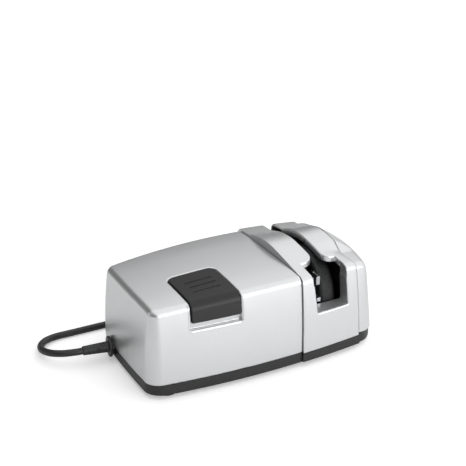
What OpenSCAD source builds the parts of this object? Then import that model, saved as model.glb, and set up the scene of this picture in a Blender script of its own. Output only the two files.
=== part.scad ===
/* [Body] */
// Length of the body over both ends
body_l = 220; // [200:1:260]
// Depth of the body at the split line
body_d = 121; // [112:1:150]
// How far the front and back faces bow out between the ends
side_bow = 8.8; // [0:0.2:12]
// How far the cord end bows out
tail_bow = 1.6; // [0:0.2:5]
// How far the head end bows out
head_bow = 7; // [0:0.5:12]
// Corner radius of the plan outline
corner_r = 11; // [6:0.5:16]
// Height of the split line between housing and base
split_z = 13.5; // [11:0.5:18]
// Height of the body's top at its crown
top_z = 83; // [80:0.5:92]
// How much lower the top lies at the two ends
top_fall = 5; // [0:0.5:8]
// How much lower the top lies at its front and back edges
edge_fall = 1.5; // [0:0.25:4]
// How far the walls lean in from the split line to the shoulder
wall_lean = 4.2; // [0:0.2:7]
// Radius of the shoulder between walls and top
shoulder_r = 3.5; // [2:0.25:6]
// Wall thickness of the housing parts
wall_t = 2.4; // [1.6:0.1:3]

/* [Head] */
// Middle of the raised head cover along the body
head_x = 57.5; // [54:0.5:62]
// Width of the head cover
head_w = 60.5; // [56:0.5:66]
// How far the head cover stands out from the faces beside it
head_out = 1.7; // [0.8:0.1:2.4]
// Height of the arch at the knife slot
arch_z = 89.6; // [88:0.2:94]
// Distance of the arch's highest point behind the middle
arch_y = 3; // [0:1:8]
// Reach of the arch behind its highest point
arch_back = 33; // [28:1:38]
// Length over which the arch bends at its highest point
arch_bend = 11; // [8:1:16]
// How far the right seam leans in over the height of the split line
seam_lean = 0.75; // [0:0.05:1]
// How far the end cap's end leans in
end_lean = 3; // [0:0.2:5]
// Radius of the end cap's rounded top edge
end_r = 10.5; // [6:0.5:14]
// Width of the knife slot
slot_w = 8.8; // [6:0.2:11]
// Distance of the slot's middle towards the cord end from the head's middle
slot_off = 1.2; // [0:0.2:4]
// Width of the front window at its foot
window_w = 31.2; // [26:0.2:34]
// How far the window's left edge leans out over the window's height
window_lean = 4; // [0:0.2:5]
// Radius of the slot's mouth at the window's left and right
mouth_left = 11; // [6:0.5:12]
mouth_right = 8.5; // [5:0.5:10]
// Height of the window's floor
window_z = 46.5; // [42:0.5:52]
// Depth of the window's floor behind the face
window_d = 15.3; // [12:0.1:16]
// Reach of the window over the top, from the front face
window_reach = 24.5; // [20:0.5:30]

/* [Base] */
// Height of the base's underside above the table
base_z = 3.4; // [2.5:0.1:5]
// Floor thickness of the base
floor_t = 2.5; // [2:0.1:3.5]
// Step of the base's rim under the head cover
rim_step = 0.7; // [0:0.1:1.5]
// Diameter of a rubber foot
foot_d = 18; // [12:0.5:20]
// Diameter of the shank of a housing screw
screw_d = 3.5; // [3:0.1:4]
// Length of a housing screw's shank
screw_l = 22; // [18:1:26]

/* [Button] */
// Middle of the button along the body
button_x = -51; // [-54:0.5:-48]
// Width of the button
button_w = 42; // [36:0.5:46]
// Distance of the button's back edge in front of the middle
button_back = 5.5; // [4:0.5:8]
// Corner radius at the button's back edge
button_r = 6; // [3:0.5:9]
// How far the button stands out from the body
button_out = 0.6; // [0:0.1:1]
// Height of the lower edge of the button's front
button_low = 63.3; // [61:0.1:67]
// Free room under the button's front
button_room = 6; // [5:0.25:7]
// Gap around the button
button_gap = 0.7; // [0.4:0.05:1]
// Angle through which the button is pressed
press_angle = 5; // [3:0.5:6]
// Diameter of the button's pivot pin
pivot_d = 3; // [2:0.1:4]

/* [Drive] */
// Height of the motor's axis
axis_z = 46; // [45:0.5:47]
// Distance of the motor's axis behind the middle
axis_y = -6.5; // [-7:0.5:-6]
// Diameter of the motor shaft
shaft_d = 6; // [5:0.5:8]
// Diameter of the grinding wheel
wheel_d = 72; // [66:0.5:73]
// Width of the grinding wheel
wheel_w = 15; // [11:0.5:16]
// Distance of the wheel's middle towards the head end from the head's middle
wheel_off = 5; // [4.5:0.5:6]
// Radius of the wheel's rounded rim edges
wheel_r = 4; // [1:0.5:5]
// Side of the square stator stack
stator_s = 52; // [46:1:54]
// Length of the stator stack
stack_l = 38; // [30:1:40]
// Diameter of the armature core
core_d = 28; // [24:0.5:29]
// Air gap between armature and stator
air_gap = 0.6; // [0.4:0.05:1]
// Diameter of the commutator
comm_d = 20; // [16:0.5:22]
// Diameter of the cooling fan
fan_d = 44; // [36:1:48]
// Radial clearance of a shaft running in its bush
run_gap = 0.05; // [0.02:0.01:0.09]
// Clearance of fixed pieces beside each other
fit_gap = 0.1; // [0.05:0.05:0.2]

/* [Cord] */
// Diameter of the cord
cord_d = 6; // [5:0.1:6.5]
// Diameter of the gland's flange
flange_d = 18; // [16:0.5:20]
// Height of the cord's exit
exit_z = 12.6; // [12:0.1:14]
// Distance of the cord's exit behind the middle
exit_y = 26; // [20:0.5:30]
// Angle by which the exit turns towards the back
exit_turn = 8; // [0:1:12]
// Length of the strain relief
relief_l = 22; // [20:1:40]

/* [Hidden] */
$fn = 48;

silver = "#b9babc";
charcoal = "#3a3a3c";
black = "#1c1c1d";
steel = "#c9c9cc";
copper = "#b5672f";
brass = "#c2a352";
iron = "#6f7276";

// Overrun of every cut past the face that it leaves
over = 1;
half_l = body_l / 2;
half_d = body_d / 2;
inner_z = base_z + floor_t;
head_lo = head_x - head_w / 2;
head_hi = head_x + head_w / 2;

// Half depth and half length of the plan outline, moved out by o
function side_at(x, o) = half_d + o - side_bow * pow(x / (half_l + o), 2);
function tail_at(y, o) = half_l + o - tail_bow * pow(y / (half_d + o), 2);
function head_at(y, o) = half_l + o - head_bow * pow(y / (half_d + o), 2);
function lerp(a, b, t) = a + (b - a) * t;

// A quarter turn from p to q about the corner c, without its two ends
turn_n = 5;
turn_share = 0.55;
function turn(p, q, c) = [for (i = [1:turn_n - 1]) let (
    t = i / turn_n,
    a = lerp(p, c, turn_share),
    b = lerp(q, c, turn_share))
    pow(1 - t, 3) * p + 3 * pow(1 - t, 2) * t * a + 3 * (1 - t) * t * t * b + pow(t, 3) * q];

// The plan outline moved out by o, anticlockwise from the back of the cord end
side_n = 16;
end_n = 4;
function outline(o) = let (
    yl = side_at(half_l, o) - corner_r,
    xl = -(tail_at(half_d, o) - corner_r),
    xr = head_at(half_d, o) - corner_r,
    tail = [for (i = [0:end_n]) let (y = lerp(yl, -yl, i / end_n)) [-tail_at(y, o), y]],
    front = [for (i = [0:side_n]) let (x = lerp(xl, xr, i / side_n)) [x, -side_at(x, o)]],
    head = [for (i = [0:end_n]) let (y = lerp(-yl, yl, i / end_n)) [head_at(y, o), y]],
    back = [for (i = [0:side_n]) let (x = lerp(xr, xl, i / side_n)) [x, side_at(x, o)]],
    cl = [-tail_at(half_d, o), -side_at(half_l, o)],
    cr = [head_at(half_d, o), -side_at(half_l, o)])
    concat(tail, turn(tail[end_n], front[0], cl), front, turn(front[side_n], head[0], cr),
        head, turn(head[end_n], back[0], [cr.x, -cr.y]), back,
        turn(back[side_n], tail[0], [cl.x, -cl.y]));

// Height of the body's top and of the head cover's arch over a point
function body_top(x, y) = top_z - top_fall * pow(x / half_l, 2) - edge_fall * pow(y / half_d, 2);
arch_end = arch_y + arch_back;
arch_foot = body_top(head_x, arch_end);
slot_x = head_x - slot_off;
// Slopes of the arch towards the front and towards the head end
front_slope = 0.19;
rise_slope = 0.055;
function crest_z(x) = arch_z - head_out + rise_slope * max(0, x - slot_x);
function arch_line(x, y) = y < arch_y ? crest_z(x) - front_slope * (norm([arch_y - y, arch_bend]) - arch_bend)
    : y < arch_end ? crest_z(x) - (crest_z(x) - body_top(x, arch_end)) * pow((y - arch_y) / arch_back, 2)
    : body_top(x, y);
// The arch's right front dips to the level of the body's top, over these lengths
dip_w = 23;
dip_y = 28;
dip_d = 13;
function clip(t) = max(0, min(1, t));
function ease(t) = pow(clip(t), 2) * (3 - 2 * clip(t));
function front_rise(y) = ease((y + dip_y) / dip_d);
function arch_top(x, y) = lerp(arch_line(x, y), body_top(x, y),
    clip((x - slot_x - slot_w / 2) / dip_w) * (1 - front_rise(y)));
// Over the end cap the arch runs down from the seam to the rounded top edge of its end
hump_in = 4.5;
hump_lo = head_hi - hump_in;
hump_l = 16;
hump_share = 1.15;
end_turn = 3.8;
drop_share = 0.6;
function end_at(y) = half_l - end_lean - (head_bow + end_lean * end_turn / 2) * pow(y / half_d, 2);
function end_drop(x, y) = drop_share * pow(max(0, x - end_at(y) + end_r), 2) / end_r;
function end_top(x, y) = body_top(x, y) - end_drop(x, y) + hump_share * front_rise(y)
    * (arch_line(hump_lo, y) - body_top(hump_lo, y)) * clip(1 - (x - hump_lo) / hump_l);
function leaned(p, s) = [p.x - (p.x > 0 ? pow(p.x / half_l, 8) : 0) * s * end_lean
    * (1 + end_turn * pow(p.y / half_d, 2)), p.y];

// Shares of the wall's height, of the shoulder's quarter turn and of the top's rings
wall_shares = [0, 0.35, 0.65, 0.85, 1];
turn_shares = [1 / 3, 2 / 3, 1];
cap_shares = [0.86, 0.72, 0.58, 0.44, 0.3, 0.16];

// The body's form moved out by o, its foot at z; arched for the head cover, ended for the end cap
function form_z(p, o, kind) = (kind == "arched" ? arch_top(p.x, p.y)
    : kind == "ended" ? end_top(p.x, p.y) : body_top(p.x, p.y)) + o;
function plan(o, s, kind) = [for (p = outline(o)) kind == "ended" ? leaned(p, s) : p];
function wall_ring(o, z, s, kind) = [for (p = plan(o - wall_lean * s * s, s, kind))
    [p.x, p.y, lerp(z, form_z(p, o, kind) - shoulder_r, s)]];
function turn_ring(o, s, kind) = [for (p = plan(o - wall_lean - shoulder_r * (1 - cos(90 * s)), 1, kind))
    [p.x, p.y, form_z(p, o, kind) - shoulder_r * (1 - sin(90 * s))]];
function cap_ring(o, s, kind) = [for (p = plan(o - wall_lean - shoulder_r, 1, kind))
    [p.x * s, p.y * s, form_z(p * s, o, kind)]];
function form_rings(o, z, kind) = concat(
    [for (s = wall_shares) wall_ring(o, z, s, kind)],
    [for (s = turn_shares) turn_ring(o, s, kind)],
    [for (s = cap_shares) cap_ring(o, s, kind)]);

// A closed solid through stacked rings of n points each, with flat or pointed ends
function skin_faces(m, n) = concat(
    [[for (j = [0:n - 1]) j]],
    [for (i = [0:m - 2], j = [0:n - 1]) let (k = (j + 1) % n) [i * n + j, (i + 1) * n + j, (i + 1) * n + k]],
    [for (i = [0:m - 2], j = [0:n - 1]) let (k = (j + 1) % n) [i * n + j, (i + 1) * n + k, i * n + k]],
    [[for (j = [n - 1:-1:0]) (m - 1) * n + j]]);
module skin(rings) {
    polyhedron([for (r = rings) each r], skin_faces(len(rings), len(rings[0])));
}
module form(o, z, kind = "plain") {
    rings = form_rings(o, z, kind);
    n = len(rings[0]);
    m = len(rings);
    peak = [0, 0, form_z([0, 0], o, kind)];
    sides = [for (f = skin_faces(m, n)) if (len(f) == 3) f];
    foot = [for (j = [0:n - 1]) j];
    cap = [for (j = [0:n - 1]) [(m - 1) * n + j, m * n, (m - 1) * n + (j + 1) % n]];
    polyhedron(concat([for (r = rings) each r], [peak]), concat([foot], sides, cap));
}
// Everything between two places along the body, and between the head cover's two seams moved in by o
module leaning_slab(x0, x1, lean0, lean1) {
    translate([0, body_d, 0]) rotate([90, 0, 0]) linear_extrude(2 * body_d)
        polygon([[x0, 0], [x1, 0], [x1 - lean1 * 2 * top_z / split_z, 2 * top_z],
            [x0 - lean0 * 2 * top_z / split_z, 2 * top_z]]);
}
module head_slab(o = 0) {
    leaning_slab(head_lo + o, head_hi - o, 0, seam_lean);
}
module box(x0, x1, y0, y1, z0, z1) {
    translate([x0, y0, z0]) cube([x1 - x0, y1 - y0, z1 - z0]);
}
// A cylinder along the motor's axis between two places along the body
module drum(d, x0, x1) {
    translate([x0, axis_y, axis_z]) rotate([0, 90, 0]) cylinder(d = d, h = x1 - x0);
}

// Base with its screw bosses and foot sockets
base_wall = 2.4;
boss_d = 8;
boss_h = 24;
// Distances of the screws from the ends, the head cover's edges and the side walls
boss_tail = 34;
boss_head = 11.5;
boss_beside = 12.2;
boss_left = 8.2;
boss_right = 6.8;
boss_in = 11;
boss_head_share = 0.545;
boss_x = [boss_tail - half_l, head_lo - boss_beside, head_lo + boss_left, head_hi - boss_right,
    half_l - boss_head];
boss_y = [for (i = [0:4]) i < 4 ? side_at(boss_x[i], 0) - boss_in : boss_head_share * half_d];
screw_gap = fit_gap;
head_d = 2 * screw_d;
head_h = 2.2;
// Distances of the feet from the ends and from the front and back, at the cord end and the head end
foot_end = [20, 24];
foot_side = [19, 32.5];
stem_d = foot_d / 2;
stem_h = floor_t;
edge_c = 1;
// Places of the screws, each with its side
function screw_spots() = [for (i = [0:len(boss_x) - 1], s = [-1, 1]) [boss_x[i], s * boss_y[i]]];
function foot_spots() = [for (s = [-1, 1], i = [0, 1])
    [(2 * i - 1) * (half_l - foot_end[i]), s * (half_d - foot_side[i])]];
module at_screws() {
    for (p = screw_spots()) translate([p.x, p.y, 0]) children();
}
module base() color(charcoal) difference() {
    union() {
        difference() {
            union() {
                translate([0, 0, base_z]) linear_extrude(edge_c) polygon(outline(-edge_c));
                translate([0, 0, base_z + edge_c]) linear_extrude(split_z - base_z - edge_c)
                    polygon(outline(0));
                intersection() {
                    translate([0, 0, base_z + edge_c])
                        linear_extrude(split_z - rim_step - base_z - edge_c) polygon(outline(head_out));
                    head_slab();
                }
            }
            translate([0, 0, inner_z]) linear_extrude(split_z) polygon(outline(-base_wall));
            intersection() {
                translate([0, 0, split_z - rim_step]) linear_extrude(split_z) polygon(outline(head_out + over));
                head_slab();
            }
        }
        at_screws() translate([0, 0, base_z]) cylinder(d = boss_d, h = split_z - base_z);
    }
    at_screws() translate([0, 0, base_z - over])
        cylinder(d = screw_d + 2 * screw_gap, h = split_z);
    at_screws() translate([0, 0, base_z - over]) cylinder(d = head_d + 2 * screw_gap, h = head_h + over);
    for (p = foot_spots()) translate([p.x, p.y, base_z - over])
        cylinder(d = stem_d + 2 * fit_gap, h = floor_t + 2 * over);
    translate([-half_l, exit_y, exit_z]) rotate([0, -90, -exit_turn]) translate([0, 0, -seat_l])
        cylinder(d = seat_d + 2 * fit_gap, h = 2 * seat_l);
}
foot_c = 1;
module foot(i) color(black) translate([foot_spots()[i].x, foot_spots()[i].y, 0]) {
    cylinder(d1 = foot_d - 2 * foot_c, d2 = foot_d, h = foot_c);
    translate([0, 0, foot_c]) cylinder(d = foot_d, h = base_z - foot_c);
    translate([0, 0, base_z]) cylinder(d = stem_d, h = stem_h);
}
module base_screws() color(steel) at_screws() translate([0, 0, base_z + fit_gap]) difference() {
    union() {
        cylinder(d = head_d, h = head_h - fit_gap);
        cylinder(d = screw_d, h = screw_l);
    }
    translate([-head_d / 3, -screw_d / 8, -over]) cube([2 * head_d / 3, screw_d / 4, head_h / 2 + over]);
}

// The outer parts with their screw bosses and ribs
rib_t = 2;
module wall_bosses(lo, hi, o = 0) {
    for (p = screw_spots()) if (p.x > lo && p.x < hi) {
        translate([p.x, p.y, split_z]) cylinder(d = boss_d, h = boss_h);
        share = boss_h / (top_z - split_z);
        wall_x = leaned([head_at(p.y, -wall_t / 2), p.y], share).x;
        wall_y = side_at(p.x, o - wall_t / 2) - wall_lean * pow(share, 2);
        if (p.x > half_l - 2 * corner_r)
            box(p.x, wall_x, p.y - rib_t / 2, p.y + rib_t / 2, split_z, split_z + boss_h);
        else
            translate([p.x - rib_t / 2, p.y > 0 ? p.y : -wall_y, split_z]) cube([rib_t, wall_y - abs(p.y), boss_h]);
    }
}
module boss_bores(lo, hi) {
    for (p = screw_spots()) if (p.x > lo && p.x < hi) translate([p.x, p.y, split_z - over])
        cylinder(d = screw_d + 2 * screw_gap, h = screw_l);
}
module hull_part(lo, hi, kind = "plain", lean = 0) {
    difference() {
        union() {
            intersection() {
                difference() {
                    form(0, split_z, kind);
                    form(-wall_t, split_z - over, kind);
                }
                leaning_slab(lo, hi, lean, 0);
            }
            wall_bosses(lo, hi);
        }
        boss_bores(lo, hi);
        children();
    }
}

// Plan of the button moved out by o; its front runs off the body
module button_plan(o) {
    x0 = button_x - button_w / 2;
    x1 = button_x + button_w / 2;
    r = button_r + o;
    translate([x0 - o, -body_d]) square([button_w + 2 * o, body_d - button_back - button_r]);
    translate([x0 - o + r, -button_back + o - 2 * r]) square([button_w + 2 * o - 2 * r, 2 * r]);
    for (x = [x0 + button_r, x1 - button_r]) translate([x, -button_back - button_r]) circle(r);
}
button_t = 2.2;
well_t = 1.6;
well_d = 9;
pivot_in = 4.5;
pivot_low = 6.5;
pivot_y = -button_back - pivot_in;
pivot_z = body_top(button_x, pivot_y) - pivot_low;
ear_t = 3;
ear_d = 3 * pivot_d;
ear_out = button_w / 2 + button_gap + well_t + ear_t;
room_z = button_low - button_room;
panel_in = 5.6;
cheek_in = 16.5;
cheek_y = cheek_in - half_d;
step_y = -side_at(button_x, 0) + wall_lean + panel_in;
// Walls round the button, open towards the front, with a step under its front and ears for its pin
module well() {
    translate([0, 0, pivot_z - well_d]) linear_extrude(top_z) difference() {
        button_plan(button_gap + well_t);
        button_plan(button_gap);
        translate([-half_l, -body_d]) square([body_l, body_d + cheek_y]);
    }
    for (s = [-1, 1]) translate([button_x + s * (ear_out - ear_t - well_t / 2) - well_t / 2, 0, 0])
        box(0, well_t, -half_d, cheek_y, room_z - well_t, top_z);
    box(button_x - ear_out + ear_t, button_x + ear_out - ear_t, -half_d, step_y, room_z - well_t, room_z);
    box(button_x - ear_out + ear_t, button_x + ear_out - ear_t, step_y - well_t, step_y,
        room_z - well_t, button_low - button_gap);
    for (s = [-1, 1]) translate([button_x + s * (ear_out - ear_t / 2) - ear_t / 2, pivot_y, pivot_z])
        rotate([0, 90, 0]) {
            cylinder(d = ear_d, h = ear_t);
            translate([-ear_d, -ear_d / 2, 0]) cube([ear_d, ear_d, ear_t]);
        }
}
module housing() color(silver) difference() {
    union() {
        hull_part(-body_l, head_lo - seam) translate([0, 0, room_z])
            linear_extrude(top_z) button_plan(button_gap);
        intersection() {
            well();
            form(-wall_t / 2, split_z);
        }
    }
    translate([button_x - button_w, pivot_y, pivot_z]) rotate([0, 90, 0])
        cylinder(d = pivot_d + 2 * run_gap, h = 2 * button_w);
    translate([-half_l, exit_y, exit_z]) rotate([0, -90, -exit_turn]) translate([0, 0, -seat_l])
        cylinder(d = seat_d + 2 * fit_gap, h = 2 * seat_l);
}
// Seam between the outer parts
seam = 0.15;
module end_cap() color(silver) hull_part(head_hi + seam, body_l, "ended", seam_lean);

// Head cover: a raised band with the slot, the window and the window's pocket
pocket_t = 1.8;
window_top = window_reach - half_d;
slot_d = 9;
slot_low = arch_foot - slot_d;
// Deeper edge of the cover beside the slot and over the window
lip_t = 2.4;
lip_d = 4.6;
module window_shape(o, y1) {
    translate([head_x, y1, 0]) rotate([90, 0, 0]) linear_extrude(body_d)
        polygon([[-window_w / 2 - o, window_z - o], [window_w / 2 + o, window_z - o],
            [window_w / 2 - seam_lean * (arch_z + top_z - window_z) / split_z + o, arch_z + top_z],
            [-window_w / 2 - window_lean * (arch_z + top_z - window_z) / (top_z - window_z) - o, arch_z + top_z]]);
}
// Rounded mouth between the slot's side at x and the window's top edge
module mouth(x, s, r) {
    translate([x, window_top, slot_low]) mirror([s < 0 ? 1 : 0, 0, 0]) linear_extrude(top_z) difference() {
        translate([-over, -over]) square([r + over, r + over]);
        translate([r, r]) circle(r);
    }
}
function face_y(x) = side_at(x, head_out) - wall_lean * pow((window_z - split_z) / (top_z - split_z), 2);
pocket_y = -face_y(head_x) + window_d;
module head_cover() color(silver) difference() {
    union() {
        difference() {
            intersection() {
                form(head_out, split_z - rim_step, "arched");
                head_slab();
            }
            intersection() {
                form(head_out - wall_t, split_z - rim_step - over, "arched");
                head_slab(wall_t);
            }
            form(-wall_t, split_z - rim_step - over);
        }
        intersection() {
            union() {
                difference() {
                    window_shape(pocket_t, pocket_y);
                    window_shape(0, pocket_y + over);
                }
                difference() {
                    union() {
                        box(slot_x - slot_w / 2 - lip_t, slot_x + slot_w / 2 + lip_t, window_top, arch_end,
                            slot_low, 2 * arch_z);
                        box(head_x - window_w / 2, head_x + window_w / 2, window_top, window_top + lip_t,
                            slot_low, 2 * arch_z);
                    }
                    form(head_out - lip_d, split_z - over, "arched");
                }
            }
            form(head_out - wall_t / 2, split_z, "arched");
            head_slab();
        }
        wall_bosses(head_lo, head_hi, head_out);
    }
    boss_bores(head_lo, head_hi);
    window_shape(0, pocket_y);
    intersection() {
        window_shape(0, window_top);
        box(head_lo, head_hi, -body_d, window_top, arch_foot - 2 * wall_lean, 2 * arch_z);
    }
    box(slot_x - slot_w / 2, slot_x + slot_w / 2, window_top - over, body_d, slot_low, 2 * arch_z);
    mouth(slot_x - slot_w / 2, -1, mouth_left);
    mouth(slot_x + slot_w / 2, 1, mouth_right);
}

// Button: a shell that follows the body's top and front, with lugs, post and spring seat
lug_w = 4;
lug_d = 2.4 * pivot_d;
// Places of the switch and the spring behind the front and under the top
switch_in = 23.5;
spring_in = 15.5;
switch_low = 15;
switch_y = switch_in - half_d;
spring_y = spring_in - half_d;
post_d = 3.4;
post_gap = 0.25;
seat_over = 2;
plunger_d = 3;
switch_top = top_z - switch_low;
plunger_out = 2.6;
function under_button(x, y) = body_top(x, y) + button_out - button_t / 2;
module button() color("#474749") difference() {
    union() {
        intersection() {
            difference() {
                form(button_out, split_z);
                form(button_out - button_t, split_z - over);
            }
            translate([0, 0, button_low]) linear_extrude(top_z) button_plan(0);
        }
        intersection() {
            linear_extrude(top_z) button_plan(0);
            for (s = [-1, 1]) translate([button_x + s * (button_w / 2 - lug_w / 2) - lug_w / 2, 0, 0]) {
                translate([0, pivot_y, pivot_z]) rotate([0, 90, 0]) cylinder(d = lug_d, h = lug_w);
                box(0, lug_w, pivot_y - lug_d / 2, pivot_y + lug_d / 2, pivot_z,
                    under_button(button_x + s * button_w / 2, pivot_y));
            }
        }
        translate([button_x, switch_y, switch_top + plunger_out + post_gap])
            cylinder(d = post_d, h = under_button(button_x, switch_y) - switch_top - plunger_out - post_gap);
        translate([button_x, spring_y, spring_hi])
            cylinder(d = spring_d + seat_over, h = under_button(button_x, spring_y) - spring_hi);
    }
    translate([button_x - button_w, pivot_y, pivot_z]) rotate([0, 90, 0])
        cylinder(d = pivot_d + 2 * run_gap, h = 2 * button_w);
    for (i = [0:groove_n - 1]) groove(groove_y - i * groove_pitch);
}
// A groove across the button's top at the distance y, as deep all along
module groove(y) {
    lo = body_top(button_x - groove_l / 2, y);
    hi = body_top(button_x + groove_l / 2, y);
    translate([button_x, y, (lo + hi) / 2 + button_out]) rotate([0, -atan((hi - lo) / groove_l), 0])
        box(-groove_l / 2, groove_l / 2, -groove_w / 2, groove_w / 2, -groove_t, button_t);
}
groove_n = 3;
groove_l = 24;
groove_w = 1.6;
groove_t = 0.8;
groove_pitch = 8;
groove_in = 15.5;
groove_y = -button_back - groove_in;
module button_pin() color(steel)
    translate([button_x - ear_out, pivot_y, pivot_z]) rotate([0, 90, 0]) cylinder(d = pivot_d, h = 2 * ear_out);

// Return spring between its bracket and the button
spring_d = 5.4;
spring_wire = 0.9;
spring_l = 17;
spring_low = 8;
spring_hi = top_z - spring_low;
spring_lo = spring_hi - spring_l + fit_gap;
spring_n = 7;
spring_sides = 6;
spring_steps = 8;
function spring_at(i) = let (
    n = spring_n * spring_steps,
    lo = spring_lo + spring_wire / 2,
    hi = spring_hi - spring_wire / 2)
    [button_x + (spring_d - spring_wire) / 2 * cos(360 * i / spring_steps),
        spring_y + (spring_d - spring_wire) / 2 * sin(360 * i / spring_steps), lerp(lo, hi, i / n)];
module button_spring() color(steel)
    tube([for (i = [0:spring_n * spring_steps]) spring_at(i)], spring_wire / 2, spring_sides);

// A tube of n sides along points, with square ends
function unit(v) = v / norm(v);
function way(p, i) = unit(p[min(i + 1, len(p) - 1)] - p[max(i - 1, 0)]);
function aside(d) = unit(cross(d, [0, 0, 1]));
function tube_ring(c, d, r, n) = let (u = aside(d), v = cross(u, d))
    [for (j = [0:n - 1]) c + r * (cos(360 * (j + 0.5) / n) * u - sin(360 * (j + 0.5) / n) * v)];
module tube(p, r, n) {
    skin([for (i = [0:len(p) - 1]) tube_ring(p[i], way(p, i), r, n)]);
}

// Switch under the button, on its bracket
switch_w = 20;
switch_d = 6.4;
switch_h = 10;
plunger_in = 3;
sink_gap = 0.4;
bracket_t = 2;
module switch_body() color(black) difference() {
    translate([button_x - switch_w / 2, switch_y - switch_d / 2, switch_top - switch_h])
        cube([switch_w, switch_d, switch_h]);
    translate([button_x, switch_y, switch_top - plunger_in - plunger_travel - sink_gap])
        cylinder(d = plunger_d + 2 * run_gap, h = switch_h);
}
// How far the button's post goes down over the switch
plunger_travel = (pivot_y - switch_y) * sin(press_angle);
module switch_plunger() color("#8e2f2a") translate([button_x, switch_y, switch_top - plunger_in])
    cylinder(d = plunger_d, h = plunger_in + plunger_out);
bracket_w = 26;
shelf_over = 1.6;
module switch_bracket() color(steel) {
    box(button_x - bracket_w / 2, button_x + bracket_w / 2, switch_y - switch_d / 2 - bracket_t,
        switch_y - switch_d / 2, inner_z, switch_top - switch_h / 2);
    box(button_x - bracket_w / 2, button_x + bracket_w / 2, switch_y - switch_d / 2,
        switch_y + switch_d / 2, switch_top - switch_h - bracket_t, switch_top - switch_h);
    box(button_x - (spring_d + shelf_over) / 2, button_x + (spring_d + shelf_over) / 2,
        spring_y - (spring_d + shelf_over) / 2, switch_y - switch_d / 2,
        spring_lo - fit_gap - bracket_t, spring_lo - fit_gap);
    box(button_x - bracket_w / 2, button_x + bracket_w / 2, switch_y - switch_d / 2 - bracket_t,
        switch_y + switch_d, inner_z, inner_z + bracket_t);
}

// Motor: places along the shaft, from the cord end to the head
// Free room between pieces along the shaft
part_gap = 2;
fan_gap = 1.5;
wheel_gap = 43.5;
stack_hi = head_x - wheel_gap;
stack_lo = stack_hi - stack_l;
wind_l = 7;
comm_l = 11;
comm_hi = stack_lo - wind_l - part_gap;
comm_lo = comm_hi - comm_l;
carrier_t = 2;
carrier_hi = comm_lo - part_gap;
rear_gap = 9;
rear_hi = carrier_hi - rear_gap;
bracket_x = 3;
bush_d = 14;
bush_l = 6;
fan_lo = stack_hi + wind_l + fan_gap;
fan_l = 8;
front_lo = fan_lo + fan_l + fan_gap;
bolt_d = 3.8;
bolt_in = 5;
bolt_at = stator_s / 2 - bolt_in;
plate_w = 46;
shaft_over = 10;
shaft_lo = rear_hi - shaft_over;
// Room that the rear plates leave under the button's well
well_gap = 1;
module under_well() {
    box(-half_l, button_x + ear_out + well_gap, -half_d, well_gap + button_gap + well_t - button_back,
        pivot_z - well_d - well_gap, 2 * top_z);
}
module motor_plate(x0) difference() {
    union() {
        box(x0, x0 + bracket_x, axis_y - plate_w / 2, axis_y + plate_w / 2, inner_z, axis_z);
        drum(stator_s, x0, x0 + bracket_x);
        box(x0, x0 + 4 * bracket_x, axis_y - plate_w / 2, axis_y + plate_w / 2, inner_z, inner_z + bracket_x);
        for (s = [-1, 1]) translate([x0, axis_y + s * bolt_at, axis_z + s * bolt_at]) rotate([0, 90, 0])
            cylinder(d = 2 * bolt_d, h = bracket_x);
    }
    drum(bush_d + 2 * fit_gap, x0 - over, x0 + bracket_x + over);
    for (s = [-1, 1]) translate([x0 - over, axis_y + s * bolt_at, axis_z + s * bolt_at])
        rotate([0, 90, 0]) cylinder(d = bolt_d + 2 * fit_gap, h = bracket_x + 2 * over);
    under_well();
}
module bracket_rear() color(steel) motor_plate(rear_hi - bracket_x);
module bracket_front() color(steel) motor_plate(front_lo);
bush_rear_out = 1.5;
bush_front_out = 1;
module bush(x0) color(brass) difference() {
    drum(bush_d, x0, x0 + bush_l);
    drum(shaft_d + 2 * run_gap, x0 - over, x0 + bush_l + over);
}
slot_in = 11;
slot_out = 21.5;
slot_z = 17;
stator_round_share = 1.28;
module stator() color(iron) translate([stack_lo, axis_y, axis_z]) rotate([90, 0, 90])
    linear_extrude(stack_l) difference() {
        intersection() {
            square(stator_s, center = true);
            circle(d = stator_round_share * stator_s);
        }
        circle(d = core_d + 2 * air_gap);
        for (s = [-1, 1]) translate([s * (slot_in + slot_out) / 2, 0])
            square([slot_out - slot_in, 2 * slot_z], center = true);
        for (s = [-1, 1]) translate([s * bolt_at, s * bolt_at]) circle(d = bolt_d + 2 * fit_gap);
    }
coil_in = 15.3;
coil_gap = 0.5;
coil_out = slot_out - coil_gap;
coil_over = 5;
coil_lo = 2;
coil_mid = 13;
coil_hi = slot_z - coil_gap;
module field_coils() color(copper) for (m = [0, 1]) translate([0, axis_y, axis_z]) mirror([0, 0, m]) {
    for (s = [-1, 1]) translate([stack_lo - coil_over, s > 0 ? coil_in : -coil_out, coil_lo])
        cube([stack_l + 2 * coil_over, coil_out - coil_in, coil_hi - coil_lo]);
    for (x = [stack_lo - coil_over, stack_hi + fit_gap]) translate([x, -coil_out, coil_mid])
        cube([coil_over - fit_gap, 2 * coil_out, coil_hi - coil_mid]);
}
module tie_bolts() color(steel) for (s = [-1, 1])
    translate([rear_hi - bracket_x, axis_y + s * bolt_at, axis_z + s * bolt_at]) rotate([0, 90, 0]) {
        translate([0, 0, -bolt_d / 2]) cylinder(d = 2 * bolt_d, h = bolt_d / 2);
        cylinder(d = bolt_d, h = front_lo + 2 * bracket_x - rear_hi + bracket_x);
    }
tooth_n = 12;
tooth_gap = 2.6;
tooth_in = 7;
module armature_core() color(iron) difference() {
    drum(core_d, stack_lo, stack_hi);
    drum(shaft_d + 2 * fit_gap, stack_lo - over, stack_hi + over);
    for (i = [0:tooth_n - 1]) translate([stack_lo - over, axis_y, axis_z]) rotate([i * 360 / tooth_n, 0, 0])
        translate([0, -tooth_gap / 2, tooth_in]) cube([stack_l + 2 * over, tooth_gap, core_d]);
}
wind_d = 25;
wind_gap = 0.4;
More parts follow.
